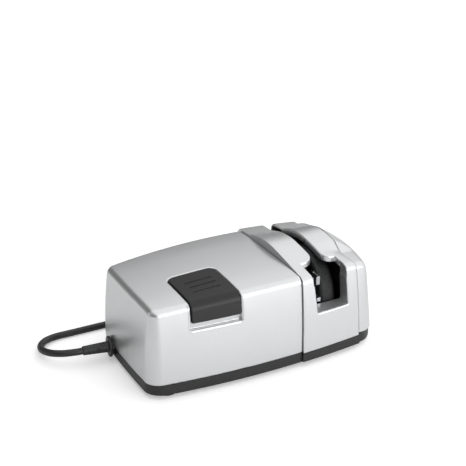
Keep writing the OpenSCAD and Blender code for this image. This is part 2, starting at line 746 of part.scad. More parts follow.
module armature_winding() color(copper) difference() {
    union() {
        drum(wind_d, stack_lo - wind_l, stack_lo - fit_gap);
        drum(wind_d, stack_hi + fit_gap, stack_hi + wind_l);
        for (i = [0:tooth_n - 1]) translate([stack_lo - over, axis_y, axis_z]) rotate([i * 360 / tooth_n, 0, 0])
            translate([0, fit_gap - tooth_gap / 2, tooth_in + fit_gap])
                cube([stack_l + 2 * over, tooth_gap - 2 * fit_gap, wind_d / 2 - tooth_in - wind_gap]);
    }
    drum(shaft_d + 2 * fit_gap, stack_lo - 2 * wind_l, stack_hi + 2 * wind_l);
}
module commutator() color(copper) difference() {
    drum(comm_d, comm_lo, comm_hi);
    drum(shaft_d + 2 * fit_gap, comm_lo - over, comm_hi + over);
}
module motor_shaft() color(steel) {
    drum(shaft_d, shaft_lo, shaft_hi);
}
blade_n = 9;
blade_t = 1.4;
hub_d = 2.4 * shaft_d;
module fan() color(black) difference() {
    union() {
        drum(fan_d, fan_lo, fan_lo + blade_t);
        drum(hub_d, fan_lo, fan_lo + fan_l);
        for (i = [0:blade_n - 1]) translate([fan_lo, axis_y, axis_z]) rotate([i * 360 / blade_n, 0, 0])
            translate([blade_t / 2, -blade_t / 2, shaft_d])
                cube([fan_l - blade_t, blade_t, fan_d / 2 - shaft_d - blade_t]);
    }
    drum(shaft_d + 2 * fit_gap, fan_lo - over, fan_lo + fan_l + over);
}
brush_w = 6;
brush_h = 7;
brush_l = 13;
brush_x = (comm_lo + comm_hi) / 2;
holder_t = 1.2;
holder_gap = 2;
holder_in = comm_d / 2 + holder_gap;
holder_l = 15;
carrier_bore = 15.6;
module brush_carrier() color("#5b3a26") difference() {
    union() {
        drum(stator_s, carrier_hi - carrier_t, carrier_hi);
        for (s = [-1, 1]) translate([0, axis_y, 0]) mirror([0, s < 0 ? 1 : 0, 0])
            box(carrier_hi - carrier_t, brush_x + brush_w / 2 + holder_t, holder_in, holder_in + holder_l,
                axis_z - brush_h / 2 - holder_t, axis_z + brush_h / 2 + holder_t);
        for (s = [-1, 1]) translate([carrier_hi - carrier_t, axis_y + s * bolt_at, axis_z + s * bolt_at])
            rotate([0, 90, 0]) cylinder(d = 2 * bolt_d, h = carrier_t);
    }
    under_well();
    drum(carrier_bore, carrier_hi - 2 * carrier_t, carrier_hi + over);
    box(brush_x - brush_w / 2 - fit_gap, brush_x + brush_w / 2 + fit_gap, axis_y - stator_s, axis_y + stator_s,
        axis_z - brush_h / 2 - fit_gap, axis_z + brush_h / 2 + fit_gap);
    for (s = [-1, 1]) translate([carrier_hi - 2 * carrier_t, axis_y + s * bolt_at, axis_z + s * bolt_at])
        rotate([0, 90, 0]) cylinder(d = bolt_d + 2 * fit_gap, h = 4 * carrier_t);
}
module brushes() color("#2b2b2d") for (s = [-1, 1]) translate([0, axis_y, 0]) mirror([0, s < 0 ? 1 : 0, 0])
    difference() {
        box(brush_x - brush_w / 2, brush_x + brush_w / 2, comm_d / 2 - holder_gap, comm_d / 2 + brush_l,
            axis_z - brush_h / 2, axis_z + brush_h / 2);
        translate([0, -axis_y, 0]) drum(comm_d + 2 * run_gap, comm_lo - over, comm_hi + over);
    }

// Wheel, its flanges and nut, the guard around it and the two blade guides
flange_wd = 26;
flange_wt = 2.5;
bore_gap = fit_gap;
wheel_x = head_x + wheel_off;
wheel_lo = wheel_x - wheel_w / 2;
wheel_hi = wheel_x + wheel_w / 2;
module grinding_wheel() color("#3d3f42") difference() {
    translate([wheel_x, axis_y, axis_z]) rotate([0, 90, 0]) rotate_extrude($fn = 96) {
        translate([0, -wheel_w / 2]) square([wheel_d / 2 - wheel_r, wheel_w]);
        translate([0, wheel_r - wheel_w / 2]) square([wheel_d / 2, wheel_w - 2 * wheel_r]);
        for (s = [-1, 1]) translate([wheel_d / 2 - wheel_r, s * (wheel_w / 2 - wheel_r)])
            circle(r = wheel_r, $fn = 32);
    }
    drum(shaft_d + 2 * bore_gap, wheel_lo - over, wheel_hi + over);
}
module wheel_flanges() color(steel) for (x = [wheel_lo - flange_wt, wheel_hi]) difference() {
    drum(flange_wd, x, x + flange_wt);
    drum(shaft_d + 2 * bore_gap, x - over, x + flange_wt + over);
}
nut_w = 10;
nut_l = 5;
shaft_hi = wheel_hi + flange_wt + nut_l + part_gap;
module wheel_nut() color(steel) difference() {
    translate([wheel_hi + flange_wt, axis_y, axis_z]) rotate([0, 90, 0])
        cylinder(d = nut_w / cos(30), h = nut_l, $fn = 6);
    drum(shaft_d + 2 * bore_gap, wheel_hi, wheel_hi + flange_wt + 2 * nut_l);
}
guard_gap = 2.4;
guard_t = 1.5;
guard_d = wheel_d + 2 * (guard_gap + guard_t);
guard_room = 8;
guard_lo = wheel_lo - guard_room - 2 * guard_t;
guard_hi = wheel_hi + guard_room;
guard_up = 31;
guard_top = axis_z + guard_up;
guard_foot = 8;
module wheel_guard() color(black) difference() {
    union() {
        drum(guard_d, guard_lo, guard_hi);
        for (s = [-1, 1]) box(guard_lo, guard_hi, axis_y + s * guard_d / 4 - guard_foot / 2,
            axis_y + s * guard_d / 4 + guard_foot / 2, inner_z, axis_z / 2);
    }
    drum(guard_d - 2 * guard_t, guard_lo + guard_t, guard_hi - guard_t);
    drum(flange_wd / 2, guard_lo - over, guard_hi + over);
    box(guard_lo - over, guard_hi + over, -body_d, body_d, guard_top, 2 * arch_z);
    box(guard_lo - over, guard_hi + over, -body_d, pocket_y + pocket_t, inner_z - over, 2 * arch_z);
    box(guard_lo + guard_t, guard_hi - guard_t, -body_d, axis_y, window_z, 2 * arch_z);
}
strip_t = 1;
strip_gap = 0.8;
strip_web = 3;
strip_back = 15;
pad_hi_z = 70;
pad_hi_h = 7.5;
pad_hi_l = 9;
pad_lo_h = 3.6;
pad_l = strip_back - strip_gap;
guide_gap = 5.4;
strip_y = pocket_y + strip_back;
// A guide strip with two pads beside the blade's path, standing in the guard's rim
module guide(x) color(steel) {
    intersection() {
        box(x, x + strip_t, strip_y - strip_web, strip_y, inner_z, pad_hi_z);
        drum(guard_d - 2 * guard_t - 2 * fit_gap, x - over, x + strip_t + over);
    }
    box(x, x + strip_t, strip_y - pad_hi_l - strip_web, strip_y, pad_hi_z - pad_hi_h, pad_hi_z);
    box(x, x + strip_t, strip_y - pad_l, strip_y, window_z + strip_gap, window_z + strip_gap + pad_lo_h);
}
module guide_right() guide(wheel_lo - strip_gap - strip_t);
module guide_left() guide(wheel_lo - strip_gap - 2 * strip_t - guide_gap);

// Wiring inside the cord end
clamp_in = 11;
clamp_x = clamp_in - half_l;
clamp_l = 8;
clamp_w = 26;
clamp_h = 4;
pillar_d = 7;
cap_d = 6;
block_in = 24;
block_x = block_in - half_l;
block_l = 14;
block_w = 30;
block_h = 12;
pad_h = exit_z - cord_d / 2 - inner_z;
module cord_clamp() color(black) difference() {
    union() {
        box(clamp_x, clamp_x + clamp_l, exit_y - clamp_w / 2, exit_y + clamp_w / 2, inner_z, inner_z + pad_h);
        box(clamp_x, clamp_x + clamp_l, exit_y - clamp_w / 2, exit_y + clamp_w / 2, exit_z + cord_d / 4,
            exit_z + cord_d / 4 + clamp_h);
        for (s = [-1, 1]) translate([clamp_x + clamp_l / 2, exit_y + s * clamp_w / 3, inner_z])
            cylinder(d = pillar_d, h = exit_z + cord_d / 4 - inner_z);
    }
    translate([clamp_x - over, exit_y, exit_z]) rotate([0, 90, 0])
        cylinder(d = cord_d + 2 * fit_gap, h = clamp_l + 2 * over);
    for (s = [-1, 1]) translate([clamp_x + clamp_l / 2, exit_y + s * clamp_w / 3, inner_z + over])
        cylinder(d = screw_d + 2 * fit_gap, h = top_z);
}
module clamp_screws() color(steel) for (s = [-1, 1])
    translate([clamp_x + clamp_l / 2, exit_y + s * clamp_w / 3, 0]) {
        translate([0, 0, inner_z + over + fit_gap])
            cylinder(d = screw_d, h = exit_z + cord_d / 4 + clamp_h - inner_z - over);
        translate([0, 0, exit_z + cord_d / 4 + clamp_h]) cylinder(d = cap_d, h = head_h);
    }
module terminal_block() color("#d8d6cc") difference() {
    box(block_x, block_x + block_l, exit_y - block_w / 2, exit_y + block_w / 2, inner_z, inner_z + block_h);
    for (i = [-1, 0, 1]) translate([block_x + block_l / 2, exit_y + i * block_w / 3, inner_z + block_h / 2])
        cylinder(d = screw_d, h = block_h);
}
cap_l = 22;
cap_w = 9;
cap_h = 16;
cap_in = 38;
cap_y = exit_y - cap_in;
module capacitor() color("#c9a13b")
    box(block_x, block_x + cap_l, cap_y - cap_w / 2, cap_y + cap_w / 2, inner_z, inner_z + cap_h);
wire_d = 2;
wire_sides = 8;
wire_lead = 3;
wire_fine = 4;
wire_shares = [0.35, 0.7];
wire_bow = 9;
// An inner lead from a to b that leaves and meets both ends along the body, bowed out to the back
module wire(a, b, bow) {
    c = a + [wire_lead, 0, 0];
    d = b - [wire_lead, 0, 0];
    way = smooth(concat([c], [for (t = wire_shares) lerp(c, d, t) + [0, bow, 0]], [d]), wire_fine);
    tube(concat([a], way, [b]), wire_d / 2, wire_sides);
}
module lead_wires() color("#7a4a2a") {
    start = [block_x + block_l + fit_gap, exit_y, inner_z + block_h / 2];
    wire(start - [0, block_w / 3, 0], [button_x - switch_w / 2 - fit_gap, switch_y, switch_top - switch_h / 2],
        0);
    wire(start + [0, block_w / 3, 0], [carrier_hi - carrier_t - fit_gap, axis_y + holder_in + brush_h, axis_z],
        wire_bow);
}

// A smooth line through points, with n steps between each two
function spot(p, i) = i < 0 ? 2 * p[0] - p[1] : i > len(p) - 1 ? 2 * p[len(p) - 1] - p[len(p) - 2] : p[i];
function blend(a, b, c, d, t) = 0.5 * ((2 * b) + (c - a) * t + (2 * a - 5 * b + 4 * c - d) * t * t
    + (3 * b - a - 3 * c + d) * pow(t, 3));
function smooth(p, n) = concat([for (i = [0:len(p) - 2], k = [0:n - 1])
    blend(spot(p, i - 1), spot(p, i), spot(p, i + 1), spot(p, i + 2), k / n)], [p[len(p) - 1]]);

// Gland with its flange, its seat in the wall and the tapered strain relief
seat_d = 11;
seat_l = 4;
flange_gap = 1.2;
flange_t = 2.6;
relief_wide = 9.6;
relief_d = 7.8;
relief_n = 4;
relief_cut = 1.8;
relief_gap = 0.9;
module gland() color(black) translate([-half_l, exit_y, exit_z]) rotate([0, -90, -exit_turn]) difference() {
    union() {
        translate([0, 0, -seat_l]) cylinder(d = seat_d, h = seat_l + flange_gap + flange_t);
        translate([0, 0, flange_gap]) cylinder(d = flange_d, h = flange_t);
        translate([0, 0, flange_gap + flange_t]) cylinder(d1 = relief_wide, d2 = relief_d, h = relief_l);
    }
    for (i = [0:relief_n - 1], s = [0, 1])
        translate([0, 0, flange_gap + flange_t + relief_l * (i + 1) / (relief_n + 1)])
        rotate(90 * (i % 2) + 180 * s) translate([cord_d / 2 + relief_gap, -flange_d / 2, -relief_cut / 2])
            cube([flange_d, flange_d, relief_cut]);
}
exit_end = [-half_l, exit_y, exit_z] + (flange_gap + flange_t + relief_l) * [-cos(exit_turn), sin(exit_turn), 0];

// The cord: from the strain relief round to the back, a coil in two layers and a tail to the plug
lie_z = cord_d / 2;
run_sides = 8;
run_points = [[-152, 34.5, 12], [-160, 43.5, 10.2], [-163, 55, 8], [-160.5, 66, 6], [-153, 75, 4.4],
    [-142, 79.5, 3.3], [-128, 80, 3], [-104, 80, 3], [-80, 80, 3], [-56, 80, 3], [-30, 80, 3]];
run_fine = 4;
coil_c = [0, 120];
coil_r = 40;
coil_pitch = 7.8;
layer_gap = 0.7;
layer_h = cord_d + layer_gap;
loop_n = 24;
coil_sides = 6;
coil_turns = 4;
climb_turns = 0.5;
flat_turns = (coil_turns - climb_turns) / 2;
coil_inner = coil_r - coil_pitch * flat_turns;
function coil_at(t) = let (
    c = min(1, max(0, (t - flat_turns) / climb_turns)),
    r = coil_inner + coil_pitch * (t < flat_turns ? flat_turns - t : max(0, t - flat_turns - climb_turns)),
    z = lie_z + layer_h * (1 - cos(180 * c)) / 2)
    [coil_c.x + r * sin(360 * t), coil_c.y - r * cos(360 * t), z];
coil_path = concat([coil_at(0) - [cord_d, 0, 0]],
    [for (i = [0:loop_n * coil_turns]) coil_at(i / loop_n)], [coil_at(coil_turns) + [cord_d, 0, 0]]);
coil_in_end = coil_path[0];
coil_out_end = coil_path[len(coil_path) - 1];
run_path = smooth(concat([exit_end, exit_end + cord_d * [-cos(exit_turn), sin(exit_turn), 0]],
    run_points, [coil_in_end - [cord_d, 0, 0], coil_in_end]), run_fine);
module cord_run() color(black) tube(run_path, cord_d / 2, run_sides);
module cord_coil() color(black) tube(coil_path, cord_d / 2, coil_sides);
least = min([for (i = [0:len(coil_path) - 1], j = [i + 8:len(coil_path) - 1]) if (j < len(coil_path))
    norm(coil_path[i] - coil_path[j])]) - cord_d;
echo(least_gap_in_coil = least);

plug_w = 35;
plug_t = 13.7;
plug_l = 37;
plug_x = 62;
plug_z = plug_t / 2;
tail_points = [[14, 80, 9.6], [30, 80, 8], [44, 80, 7]];
plug_at = [plug_x, coil_out_end.y, plug_z];
plug_neck = 9;
neck_small = 8;
neck_l = 10;
tail_path = smooth(concat([coil_out_end], tail_points, [plug_at - [neck_l, 0, 0]]), run_fine);
module cord_tail() color(black) tube(tail_path, cord_d / 2, run_sides);
module plug_body() color(black) translate(plug_at) {
    translate([-neck_l, 0, 0]) rotate([0, 90, 0]) cylinder(d1 = neck_small, d2 = plug_neck, h = neck_l + over);
    difference() {
        translate([0, -plug_w / 2, -plug_t / 2]) cube([plug_l, plug_w, plug_t]);
        for (s = [-1, 1]) translate([-over, s * plug_w / 2 - plug_neck / 2 + s * over, -plug_t])
            cube([plug_l / 3, plug_neck, 2 * plug_t]);
        for (s = [-1, 1]) translate([plug_l - pin_in, s * pin_gap / 2, 0]) rotate([0, 90, 0])
            cylinder(d = pin_d + 2 * fit_gap, h = plug_l);
    }
}
pin_d = 4;
pin_gap = 18.6;
pin_in = 8;
pin_out = 19;
module plug_pins() color(brass) for (s = [-1, 1])
    translate(plug_at + [plug_l - pin_in, s * pin_gap / 2, 0]) rotate([0, 90, 0]) {
        cylinder(d = pin_d, h = pin_in + pin_out - pin_d / 4);
        translate([0, 0, pin_in + pin_out - pin_d / 4]) cylinder(d1 = pin_d, d2 = pin_d / 2, h = pin_d / 4);
    }

base();
foot(0);  // foot_front_left
foot(1);  // foot_front_right
foot(2);  // foot_back_left
foot(3);  // foot_back_right
housing();
head_cover();
end_cap();
base_screws();
button();
button_pin();
button_spring();
switch_body();
switch_plunger();
switch_bracket();
bracket_rear();
bracket_front();
bush(rear_hi - bracket_x - bush_rear_out);  // bush_rear
bush(front_lo - bush_front_out);  // bush_front
stator();
field_coils();
tie_bolts();
armature_core();
armature_winding();
commutator();
motor_shaft();
fan();
brush_carrier();
brushes();
wheel_guard();
guide_left();
guide_right();
grinding_wheel();
wheel_flanges();
wheel_nut();
terminal_block();
cord_clamp();
clamp_screws();
capacitor();
lead_wires();
gland();
cord_run();
cord_coil();
cord_tail();
plug_body();
plug_pins();
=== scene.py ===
import itertools
import math

import bpy
import numpy as np
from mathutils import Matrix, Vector


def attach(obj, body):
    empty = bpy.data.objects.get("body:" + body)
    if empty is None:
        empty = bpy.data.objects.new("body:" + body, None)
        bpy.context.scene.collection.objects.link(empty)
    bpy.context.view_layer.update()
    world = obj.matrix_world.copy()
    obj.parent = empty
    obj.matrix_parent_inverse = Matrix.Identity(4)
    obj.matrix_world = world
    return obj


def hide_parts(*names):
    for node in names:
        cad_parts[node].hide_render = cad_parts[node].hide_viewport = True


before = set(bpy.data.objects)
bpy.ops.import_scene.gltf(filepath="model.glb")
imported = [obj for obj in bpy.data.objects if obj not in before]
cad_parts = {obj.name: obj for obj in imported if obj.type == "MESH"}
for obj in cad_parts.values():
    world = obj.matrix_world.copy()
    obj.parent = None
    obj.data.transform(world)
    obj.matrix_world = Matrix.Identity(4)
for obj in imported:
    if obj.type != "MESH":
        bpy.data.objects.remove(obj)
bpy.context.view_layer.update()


# Camera
# A product shot from the left front, a little above: a long lens, no roll, no shift and
# everything sharp. Its place is worked out from the body's outline and seams.
eye = bpy.data.cameras.new("camera")
eye.sensor_width = 36.0
eye.lens = 81.12
eye.clip_start = 0.01
camera = bpy.data.objects.new("camera", eye)
camera.location = (-0.3815, -0.7107, 0.4656)
ahead = Vector((0.42533, 0.80793, -0.40785))
camera.rotation_euler = ahead.to_track_quat("-Z", "Y").to_euler()
bpy.context.scene.collection.objects.link(camera)
bpy.context.scene.camera = camera


# Mains cord
# A round two-core lead, 6 mm across, extruded in soft black PVC with a satin skin. It leaves
# the strain relief, comes down to the table, turns round the body's corner and lies behind it
# in one flat coil of two layers, with its moulded plug beside the coil.
cord_thick = 6.0
exit_at = np.array([-110.0, 26.0, 12.6])
exit_turn = math.radians(8)
exit_way = np.array([-math.cos(exit_turn), math.sin(exit_turn), 0.0])
flange_at, flange_thick, relief_length = 1.2, 2.6, 22.0
relief_end = exit_at + (flange_at + flange_thick + relief_length) * exit_way
run = [relief_end, relief_end + cord_thick * exit_way, (-152, 34.5, 12), (-160, 43.5, 10.2), (-163, 55, 8),
       (-160.5, 66, 6), (-153, 75, 4.4), (-142, 79.5, 3.3), (-128, 80, 3), (-104, 80, 3), (-80, 80, 3),
       (-56, 80, 3), (-30, 80, 3), (-12, 80, 3)]
coil_middle = (0.0, 120.0)
coil_outside = 40.0
turn_step = 7.8
layer_step = 6.7
coil_turns = 4.0
turn_points = 24
climb = 0.5
flat = (coil_turns - climb) / 2
inside = coil_outside - turn_step * flat


def coil_point(t):
    """A place on the coil after t turns: inwards on the table, up, and outwards on top."""
    up = min(1.0, max(0.0, (t - flat) / climb))
    r = inside + turn_step * (flat - t if t < flat else max(0.0, t - flat - climb))
    turn = math.tau * t
    z = cord_thick / 2 + layer_step * (1 - math.cos(math.pi * up)) / 2
    return (coil_middle[0] + r * math.sin(turn), coil_middle[1] - r * math.cos(turn), z)


coil = [coil_point(i / turn_points) for i in range(int(turn_points * coil_turns) + 1)]
tail = [(6, 80, 9.7), (14, 80, 9.6), (30, 80, 8), (44, 80, 7), (52, 80, 6.85)]
route = [tuple(p) for p in run] + [(-6, 80, 3)] + coil + tail


def curve_through(points, steps):
    """A smooth curve through all points, with steps short pieces between each two."""
    p = np.array([np.array(points[0]) * 2 - np.array(points[1]), *points,
                  np.array(points[-1]) * 2 - np.array(points[-2])], float)
    out = []
    for a, b, c, d in zip(p, p[1:], p[2:], p[3:]):
        for k in range(steps):
            t = k / steps
            out.append(0.5 * (2 * b + (c - a) * t + (2 * a - 5 * b + 4 * c - d) * t * t
                              + (3 * b - a - 3 * c + d) * t ** 3))
    return np.array(out + [p[-2]])


def sweep(name, points, radius):
    """A round tube along points; they and its radius are in millimetres."""
    shape = bpy.data.curves.new(name, "CURVE")
    shape.dimensions = "3D"
    line = shape.splines.new("POLY")
    line.points.add(len(points) - 1)
    for spot, p in zip(line.points, points):
        spot.co = (p[0] / 1000, p[1] / 1000, p[2] / 1000, 1.0)
    line.use_smooth = True
    shape.bevel_depth = radius / 1000
    shape.bevel_resolution = 5
    shape.use_fill_caps = True
    piece = bpy.data.objects.new(name, shape)
    bpy.context.scene.collection.objects.link(piece)
    return piece


def colour(code):
    """An sRGB hex value as the linear colour that Blender works in."""
    parts = [int(code[i:i + 2], 16) / 255 for i in (1, 3, 5)]
    return [c / 12.92 if c <= 0.04045 else ((c + 0.055) / 1.055) ** 2.4 for c in parts] + [1.0]


def add(owner, kind, values={}, links={}, **settings):
    """Adds one node to a material or node group, with its settings, values and links."""
    tree = getattr(owner, "node_tree", owner)
    node = tree.nodes.new(kind)
    for name, setting in settings.items():
        setattr(node, name, setting)
    for name, value in values.items():
        node.inputs[name].default_value = value
    for name, (source, out) in links.items():
        tree.links.new(source.outputs[out], node.inputs[name])
    return node


def blank(name):
    """A new material with an empty node tree."""
    material = bpy.data.materials.new(name)
    material.use_nodes = True
    material.node_tree.nodes.clear()
    return material


# Extruded PVC: near black, a satin sheen, and a faint unevenness about every 0.8 mm. Patterns are
# sized in millimetres, so 1000 / size is their number of cells in a metre
cord_pvc = blank("extruded_black_pvc")
place = add(cord_pvc, "ShaderNodeTexCoord")
skin = add(cord_pvc, "ShaderNodeTexNoise", {"Scale": 1000 / 0.8, "Detail": 3.0},
           {"Vector": (place, "Object")})
tone = add(cord_pvc, "ShaderNodeMix", {"Factor": 0.5, "A": colour("#161617"), "B": colour("#1e1e20")},
           {"Factor": (skin, "Fac")}, data_type="RGBA")
grain = add(cord_pvc, "ShaderNodeBump", {"Strength": 0.15, "Distance": 0.05 / 1000},
            {"Height": (skin, "Fac")})
gloss = add(cord_pvc, "ShaderNodeMapRange", {"To Min": 0.36, "To Max": 0.5}, {"Value": (skin, "Fac")})
body = add(cord_pvc, "ShaderNodeBsdfPrincipled", {"IOR": 1.53},
           {"Base Color": (tone, "Result"), "Roughness": (gloss, "Result"), "Normal": (grain, "Normal")})
add(cord_pvc, "ShaderNodeOutputMaterial", links={"Surface": (body, "BSDF")})

path = curve_through(route, steps=3)
cord = sweep("mains_cord", path, cord_thick / 2)
cord.data.materials.append(cord_pvc)
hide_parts("cord_run", "cord_coil", "cord_tail")
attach(cord, "appliance")


# Strain relief and plug
# Both are moulded onto the cord in soft black PVC. The relief is a flange on the wall and a
# tapered sleeve with cuts across it that let it bend; the plug is a flat two-pin Euro plug with
# sleeved pins of nickel plated brass.
flange_wide, relief_wide, relief_narrow = 18.0, 9.6, 7.8
relief_cuts, cut_wide, cut_core = 4, 1.8, 3.9
seat_r, seat_in, sleeve_in = 5.5, 4.0, 1.0
bore_r, flange_top = 2.4, 21.6


def round_max(a, b, r):
    """The larger of two fields, with the outer edge between them rounded to the radius r."""
    return np.minimum(np.maximum(a, b), -r) + np.hypot(np.maximum(a + r, 0), np.maximum(b + r, 0))


def round_min(a, b, r):
    """The smaller of two fields, with the inner edge between them rounded to the radius r."""
    return -round_max(-a, -b, r)


def between(value, low, high):
    """How far a value is outside the range from low to high."""
    return np.abs(value - (low + high) / 2) - (high - low) / 2


def gland_field(x, y, z):
    """A seat in the wall, a flange on it and a tapered sleeve with cuts, round the cord's bore."""
    along = (x - exit_at[0]) * exit_way[0] + (y - exit_at[1]) * exit_way[1]
    across = (y - exit_at[1]) * exit_way[0] - (x - exit_at[0]) * exit_way[1]
    high = z - exit_at[2]
    r = np.hypot(across, high)
    start = flange_at + flange_thick
    gone = np.clip((along - start) / relief_length, 0, 1)
    taper = (relief_wide + (relief_narrow - relief_wide) * gone) / 2
    sleeve = round_max(r - taper, along - start - relief_length, r=0.8)
    for i in range(relief_cuts):
        side = np.abs(across if i % 2 else high)
        middle = start + relief_length * (i + 1) / (relief_cuts + 1)
        cut = np.maximum(np.abs(along - middle) - cut_wide / 2, cut_core - side)
        sleeve = round_max(sleeve, -cut, r=0.3)
    disc = round_max(r - flange_wide / 2, between(along, flange_at, start), r=0.8)
    seat = np.maximum(r - seat_r, along - start)
    whole = round_min(np.minimum(disc, seat), np.maximum(sleeve, sleeve_in - along), r=0.6)
    return np.maximum(np.maximum(whole, -seat_in - along), np.maximum(z - flange_top, bore_r - r))


def shell_mesh(name, field, low, high, step):
    """Covers the surface where a field is zero with one mesh and takes its normals from the field.

    The field, the corners low and high of its box and the step of its grid are in millimetres.
    """
    margin = 1.5 * step
    axes = [np.arange(lo - margin, hi + margin, step) for lo, hi in zip(low, high)]
    x, y, z = np.meshgrid(*axes, indexing="ij", sparse=True)
    value = np.broadcast_to(field(x, y, z), [len(a) for a in axes]).astype(float)
    inside = value < 0
    shape = np.array(value.shape)
    # Each cell that the surface crosses gets a point, in the middle of the crossings on its edges
    total = np.zeros([*(shape - 1), 3])
    count = np.zeros(shape - 1)
    for axis in range(3):
        near = [slice(None)] * 3
        far = [slice(None)] * 3
        near[axis], far[axis] = slice(0, -1), slice(1, None)
        a, b = value[tuple(near)], value[tuple(far)]
        crossing = inside[tuple(near)] != inside[tuple(far)]
        share = np.where(crossing, a / np.where(crossing, a - b, 1), 0)
        others = [i for i in range(3) if i != axis]
        size = shape - 1
        for du, dv in itertools.product((0, 1), repeat=2):
            take = [slice(None)] * 3
            take[axis] = slice(0, size[axis])
            take[others[0]] = slice(du, du + size[others[0]])
            take[others[1]] = slice(dv, dv + size[others[1]])
            hit = crossing[tuple(take)]
            count += hit
            total[..., axis] += np.where(hit, share[tuple(take)], 0)
            total[..., others[0]] += hit * du
            total[..., others[1]] += hit * dv
    used = count > 0
    index = -np.ones(shape - 1, int)
    index[used] = np.arange(used.sum())
    cells = np.argwhere(used)
    points = np.array([a[0] for a in axes]) + step * (cells + total[used] / count[used][:, None])
    # Each edge of the grid that the surface crosses gets a face between the four cells round it
    quads = []
    for axis in range(3):
        u, v = (axis + 1) % 3, (axis + 2) % 3
        near = [slice(1, -1)] * 3
        far = [slice(1, -1)] * 3
        near[axis], far[axis] = slice(0, -1), slice(1, None)
        first = inside[tuple(near)]
        for solid in (True, False):
            spots = np.argwhere((first == solid) & (inside[tuple(far)] != solid))
            spots = spots + np.array([0 if i == axis else 1 for i in range(3)])
            corners = []
            for du, dv in ((1, 1), (0, 1), (0, 0), (1, 0)) if solid else ((1, 1), (1, 0), (0, 0), (0, 1)):
                cell = spots.copy()
                cell[:, u] -= du
                cell[:, v] -= dv
                corners.append(index[cell[:, 0], cell[:, 1], cell[:, 2]])
            quads.append(np.stack(corners, axis=1))
    quads = np.concatenate(quads)
    h = step / 8

    def slope(p):
        rises = [field(*(p + h * e).T) - field(*(p - h * e).T) for e in np.eye(3)]
        return np.stack(rises, axis=1) / (2 * h)

    # Four times, every point is moved along the slope onto the surface
    least_slope = 0.05
    for i in range(4):
        g = slope(points)
        move = (field(*points.T) / np.maximum((g * g).sum(axis=1), least_slope))[:, None] * g
        points -= np.clip(move, -step / 2, step / 2)
    normals = slope(points)
    normals /= np.maximum(np.linalg.norm(normals, axis=1), 1e-9)[:, None]
    mesh = bpy.data.meshes.new(name)
    mesh.vertices.add(len(points))
    mesh.vertices.foreach_set("co", (points / 1000).ravel())
    mesh.loops.add(4 * len(quads))
    mesh.loops.foreach_set("vertex_index", quads.ravel())
    mesh.polygons.add(len(quads))
    mesh.polygons.foreach_set("loop_start", np.arange(0, 4 * len(quads), 4))
    mesh.polygons.foreach_set("use_smooth", np.ones(len(quads), bool))
    mesh.update(calc_edges=True)
    mesh.normals_split_custom_set_from_vertices(normals.tolist())
    piece = bpy.data.objects.new(name, mesh)
    bpy.context.scene.collection.objects.link(piece)
    return piece


gland = shell_mesh("strain_relief", gland_field, (-137, 16, 3), (-105, 36, 22), step=0.4)
gland.data.materials.append(cord_pvc)
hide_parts("gland")
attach(gland, "appliance")

plug_at = (62.0, 80.0, 6.85)
plug_long, plug_wide, plug_thick = 37.0, 35.0, 13.7
waist_in, waist_end, waist_run, waist_thin_share = 5.5, 13.0, 12.0, 0.12
neck_long, neck_wide, neck_thin, neck_in = 10.0, 9.0, 8.0, 4.0
grip_step, grip_wide, grip_deep = 2.6, 1.0, 0.35
grip_lo, grip_hi, grip_side = 11.0, 27.0, 9.0
pin_side, pin_hole_r, pin_hole_deep = 9.3, 2.05, 8.0


def smooth_step(t):
    """Runs from 0 to 1 as t does, with a level start and end."""
    t = np.clip(t, 0, 1)
    return t * t * (3 - 2 * t)


def plug_field(x, y, z):
    """A flat waisted body with a neck for the cord, a ribbed grip and two bores for the pins."""
    along, across, high = x - plug_at[0], np.abs(y - plug_at[1]), np.abs(z - plug_at[2])
    waist = waist_in * smooth_step((waist_end - along) / waist_run)
    thinner = waist_thin_share * waist
    slab = round_max(across - plug_wide / 2 + waist, high - plug_thick / 2 + thinner, r=4.2)
    slab = round_max(slab, along - plug_long, r=1.2)
    slab = round_max(slab, -along, r=3.5)
    gone = np.clip(1 + along / neck_long, 0, 1)
    taper = (neck_thin + (neck_wide - neck_thin) * gone) / 2
    neck = np.maximum(np.hypot(across, high) - taper, np.maximum(-neck_long - along, along - neck_in))
    whole = round_min(slab, neck, r=1.5)
    grip = np.abs(np.mod(along, grip_step) - grip_step / 2) - grip_wide / 2
    grip = np.maximum(grip, between(along, grip_lo, grip_hi))
    grip = np.maximum(grip, np.maximum(across - grip_side, plug_thick / 2 - grip_deep - high))
    holes = np.maximum(np.hypot(across - pin_side, high) - pin_hole_r, plug_long - pin_hole_deep - along)
    return np.maximum(round_max(whole, -grip, r=0.2), -holes)


plug = shell_mesh("euro_plug", plug_field, (52, 62.5, 0), (99, 97.5, 13.7), step=0.6)
plug.data.materials.append(cord_pvc)
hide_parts("plug_body")
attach(plug, "appliance")

# Nickel plated brass: a pale warm metal with a soft shine and scuffs 0.6 mm across; the half
# next to the plug wears a black PA sleeve, which the material changes to at its length
sleeve_end = 109.0
pins_nickel = blank("nickel_plated_brass")
place = add(pins_nickel, "ShaderNodeTexCoord")
spot = add(pins_nickel, "ShaderNodeSeparateXYZ", links={"Vector": (place, "Object")})
bare = add(pins_nickel, "ShaderNodeMath", {1: sleeve_end / 1000},
           {0: (spot, "X")}, operation="GREATER_THAN")
scuff = add(pins_nickel, "ShaderNodeTexNoise", {"Scale": 1000 / 0.6, "Detail": 3.0},
            {"Vector": (place, "Object")})
tone = add(pins_nickel, "ShaderNodeMix", {"A": colour("#161617"), "B": colour("#cdc6b2")},
           {"Factor": (bare, "Value")}, data_type="RGBA")
gloss = add(pins_nickel, "ShaderNodeMapRange", {"To Min": 0.2, "To Max": 0.34}, {"Value": (scuff, "Fac")})
body = add(pins_nickel, "ShaderNodeBsdfPrincipled", links={
    "Base Color": (tone, "Result"), "Metallic": (bare, "Value"), "Roughness": (gloss, "Result")})
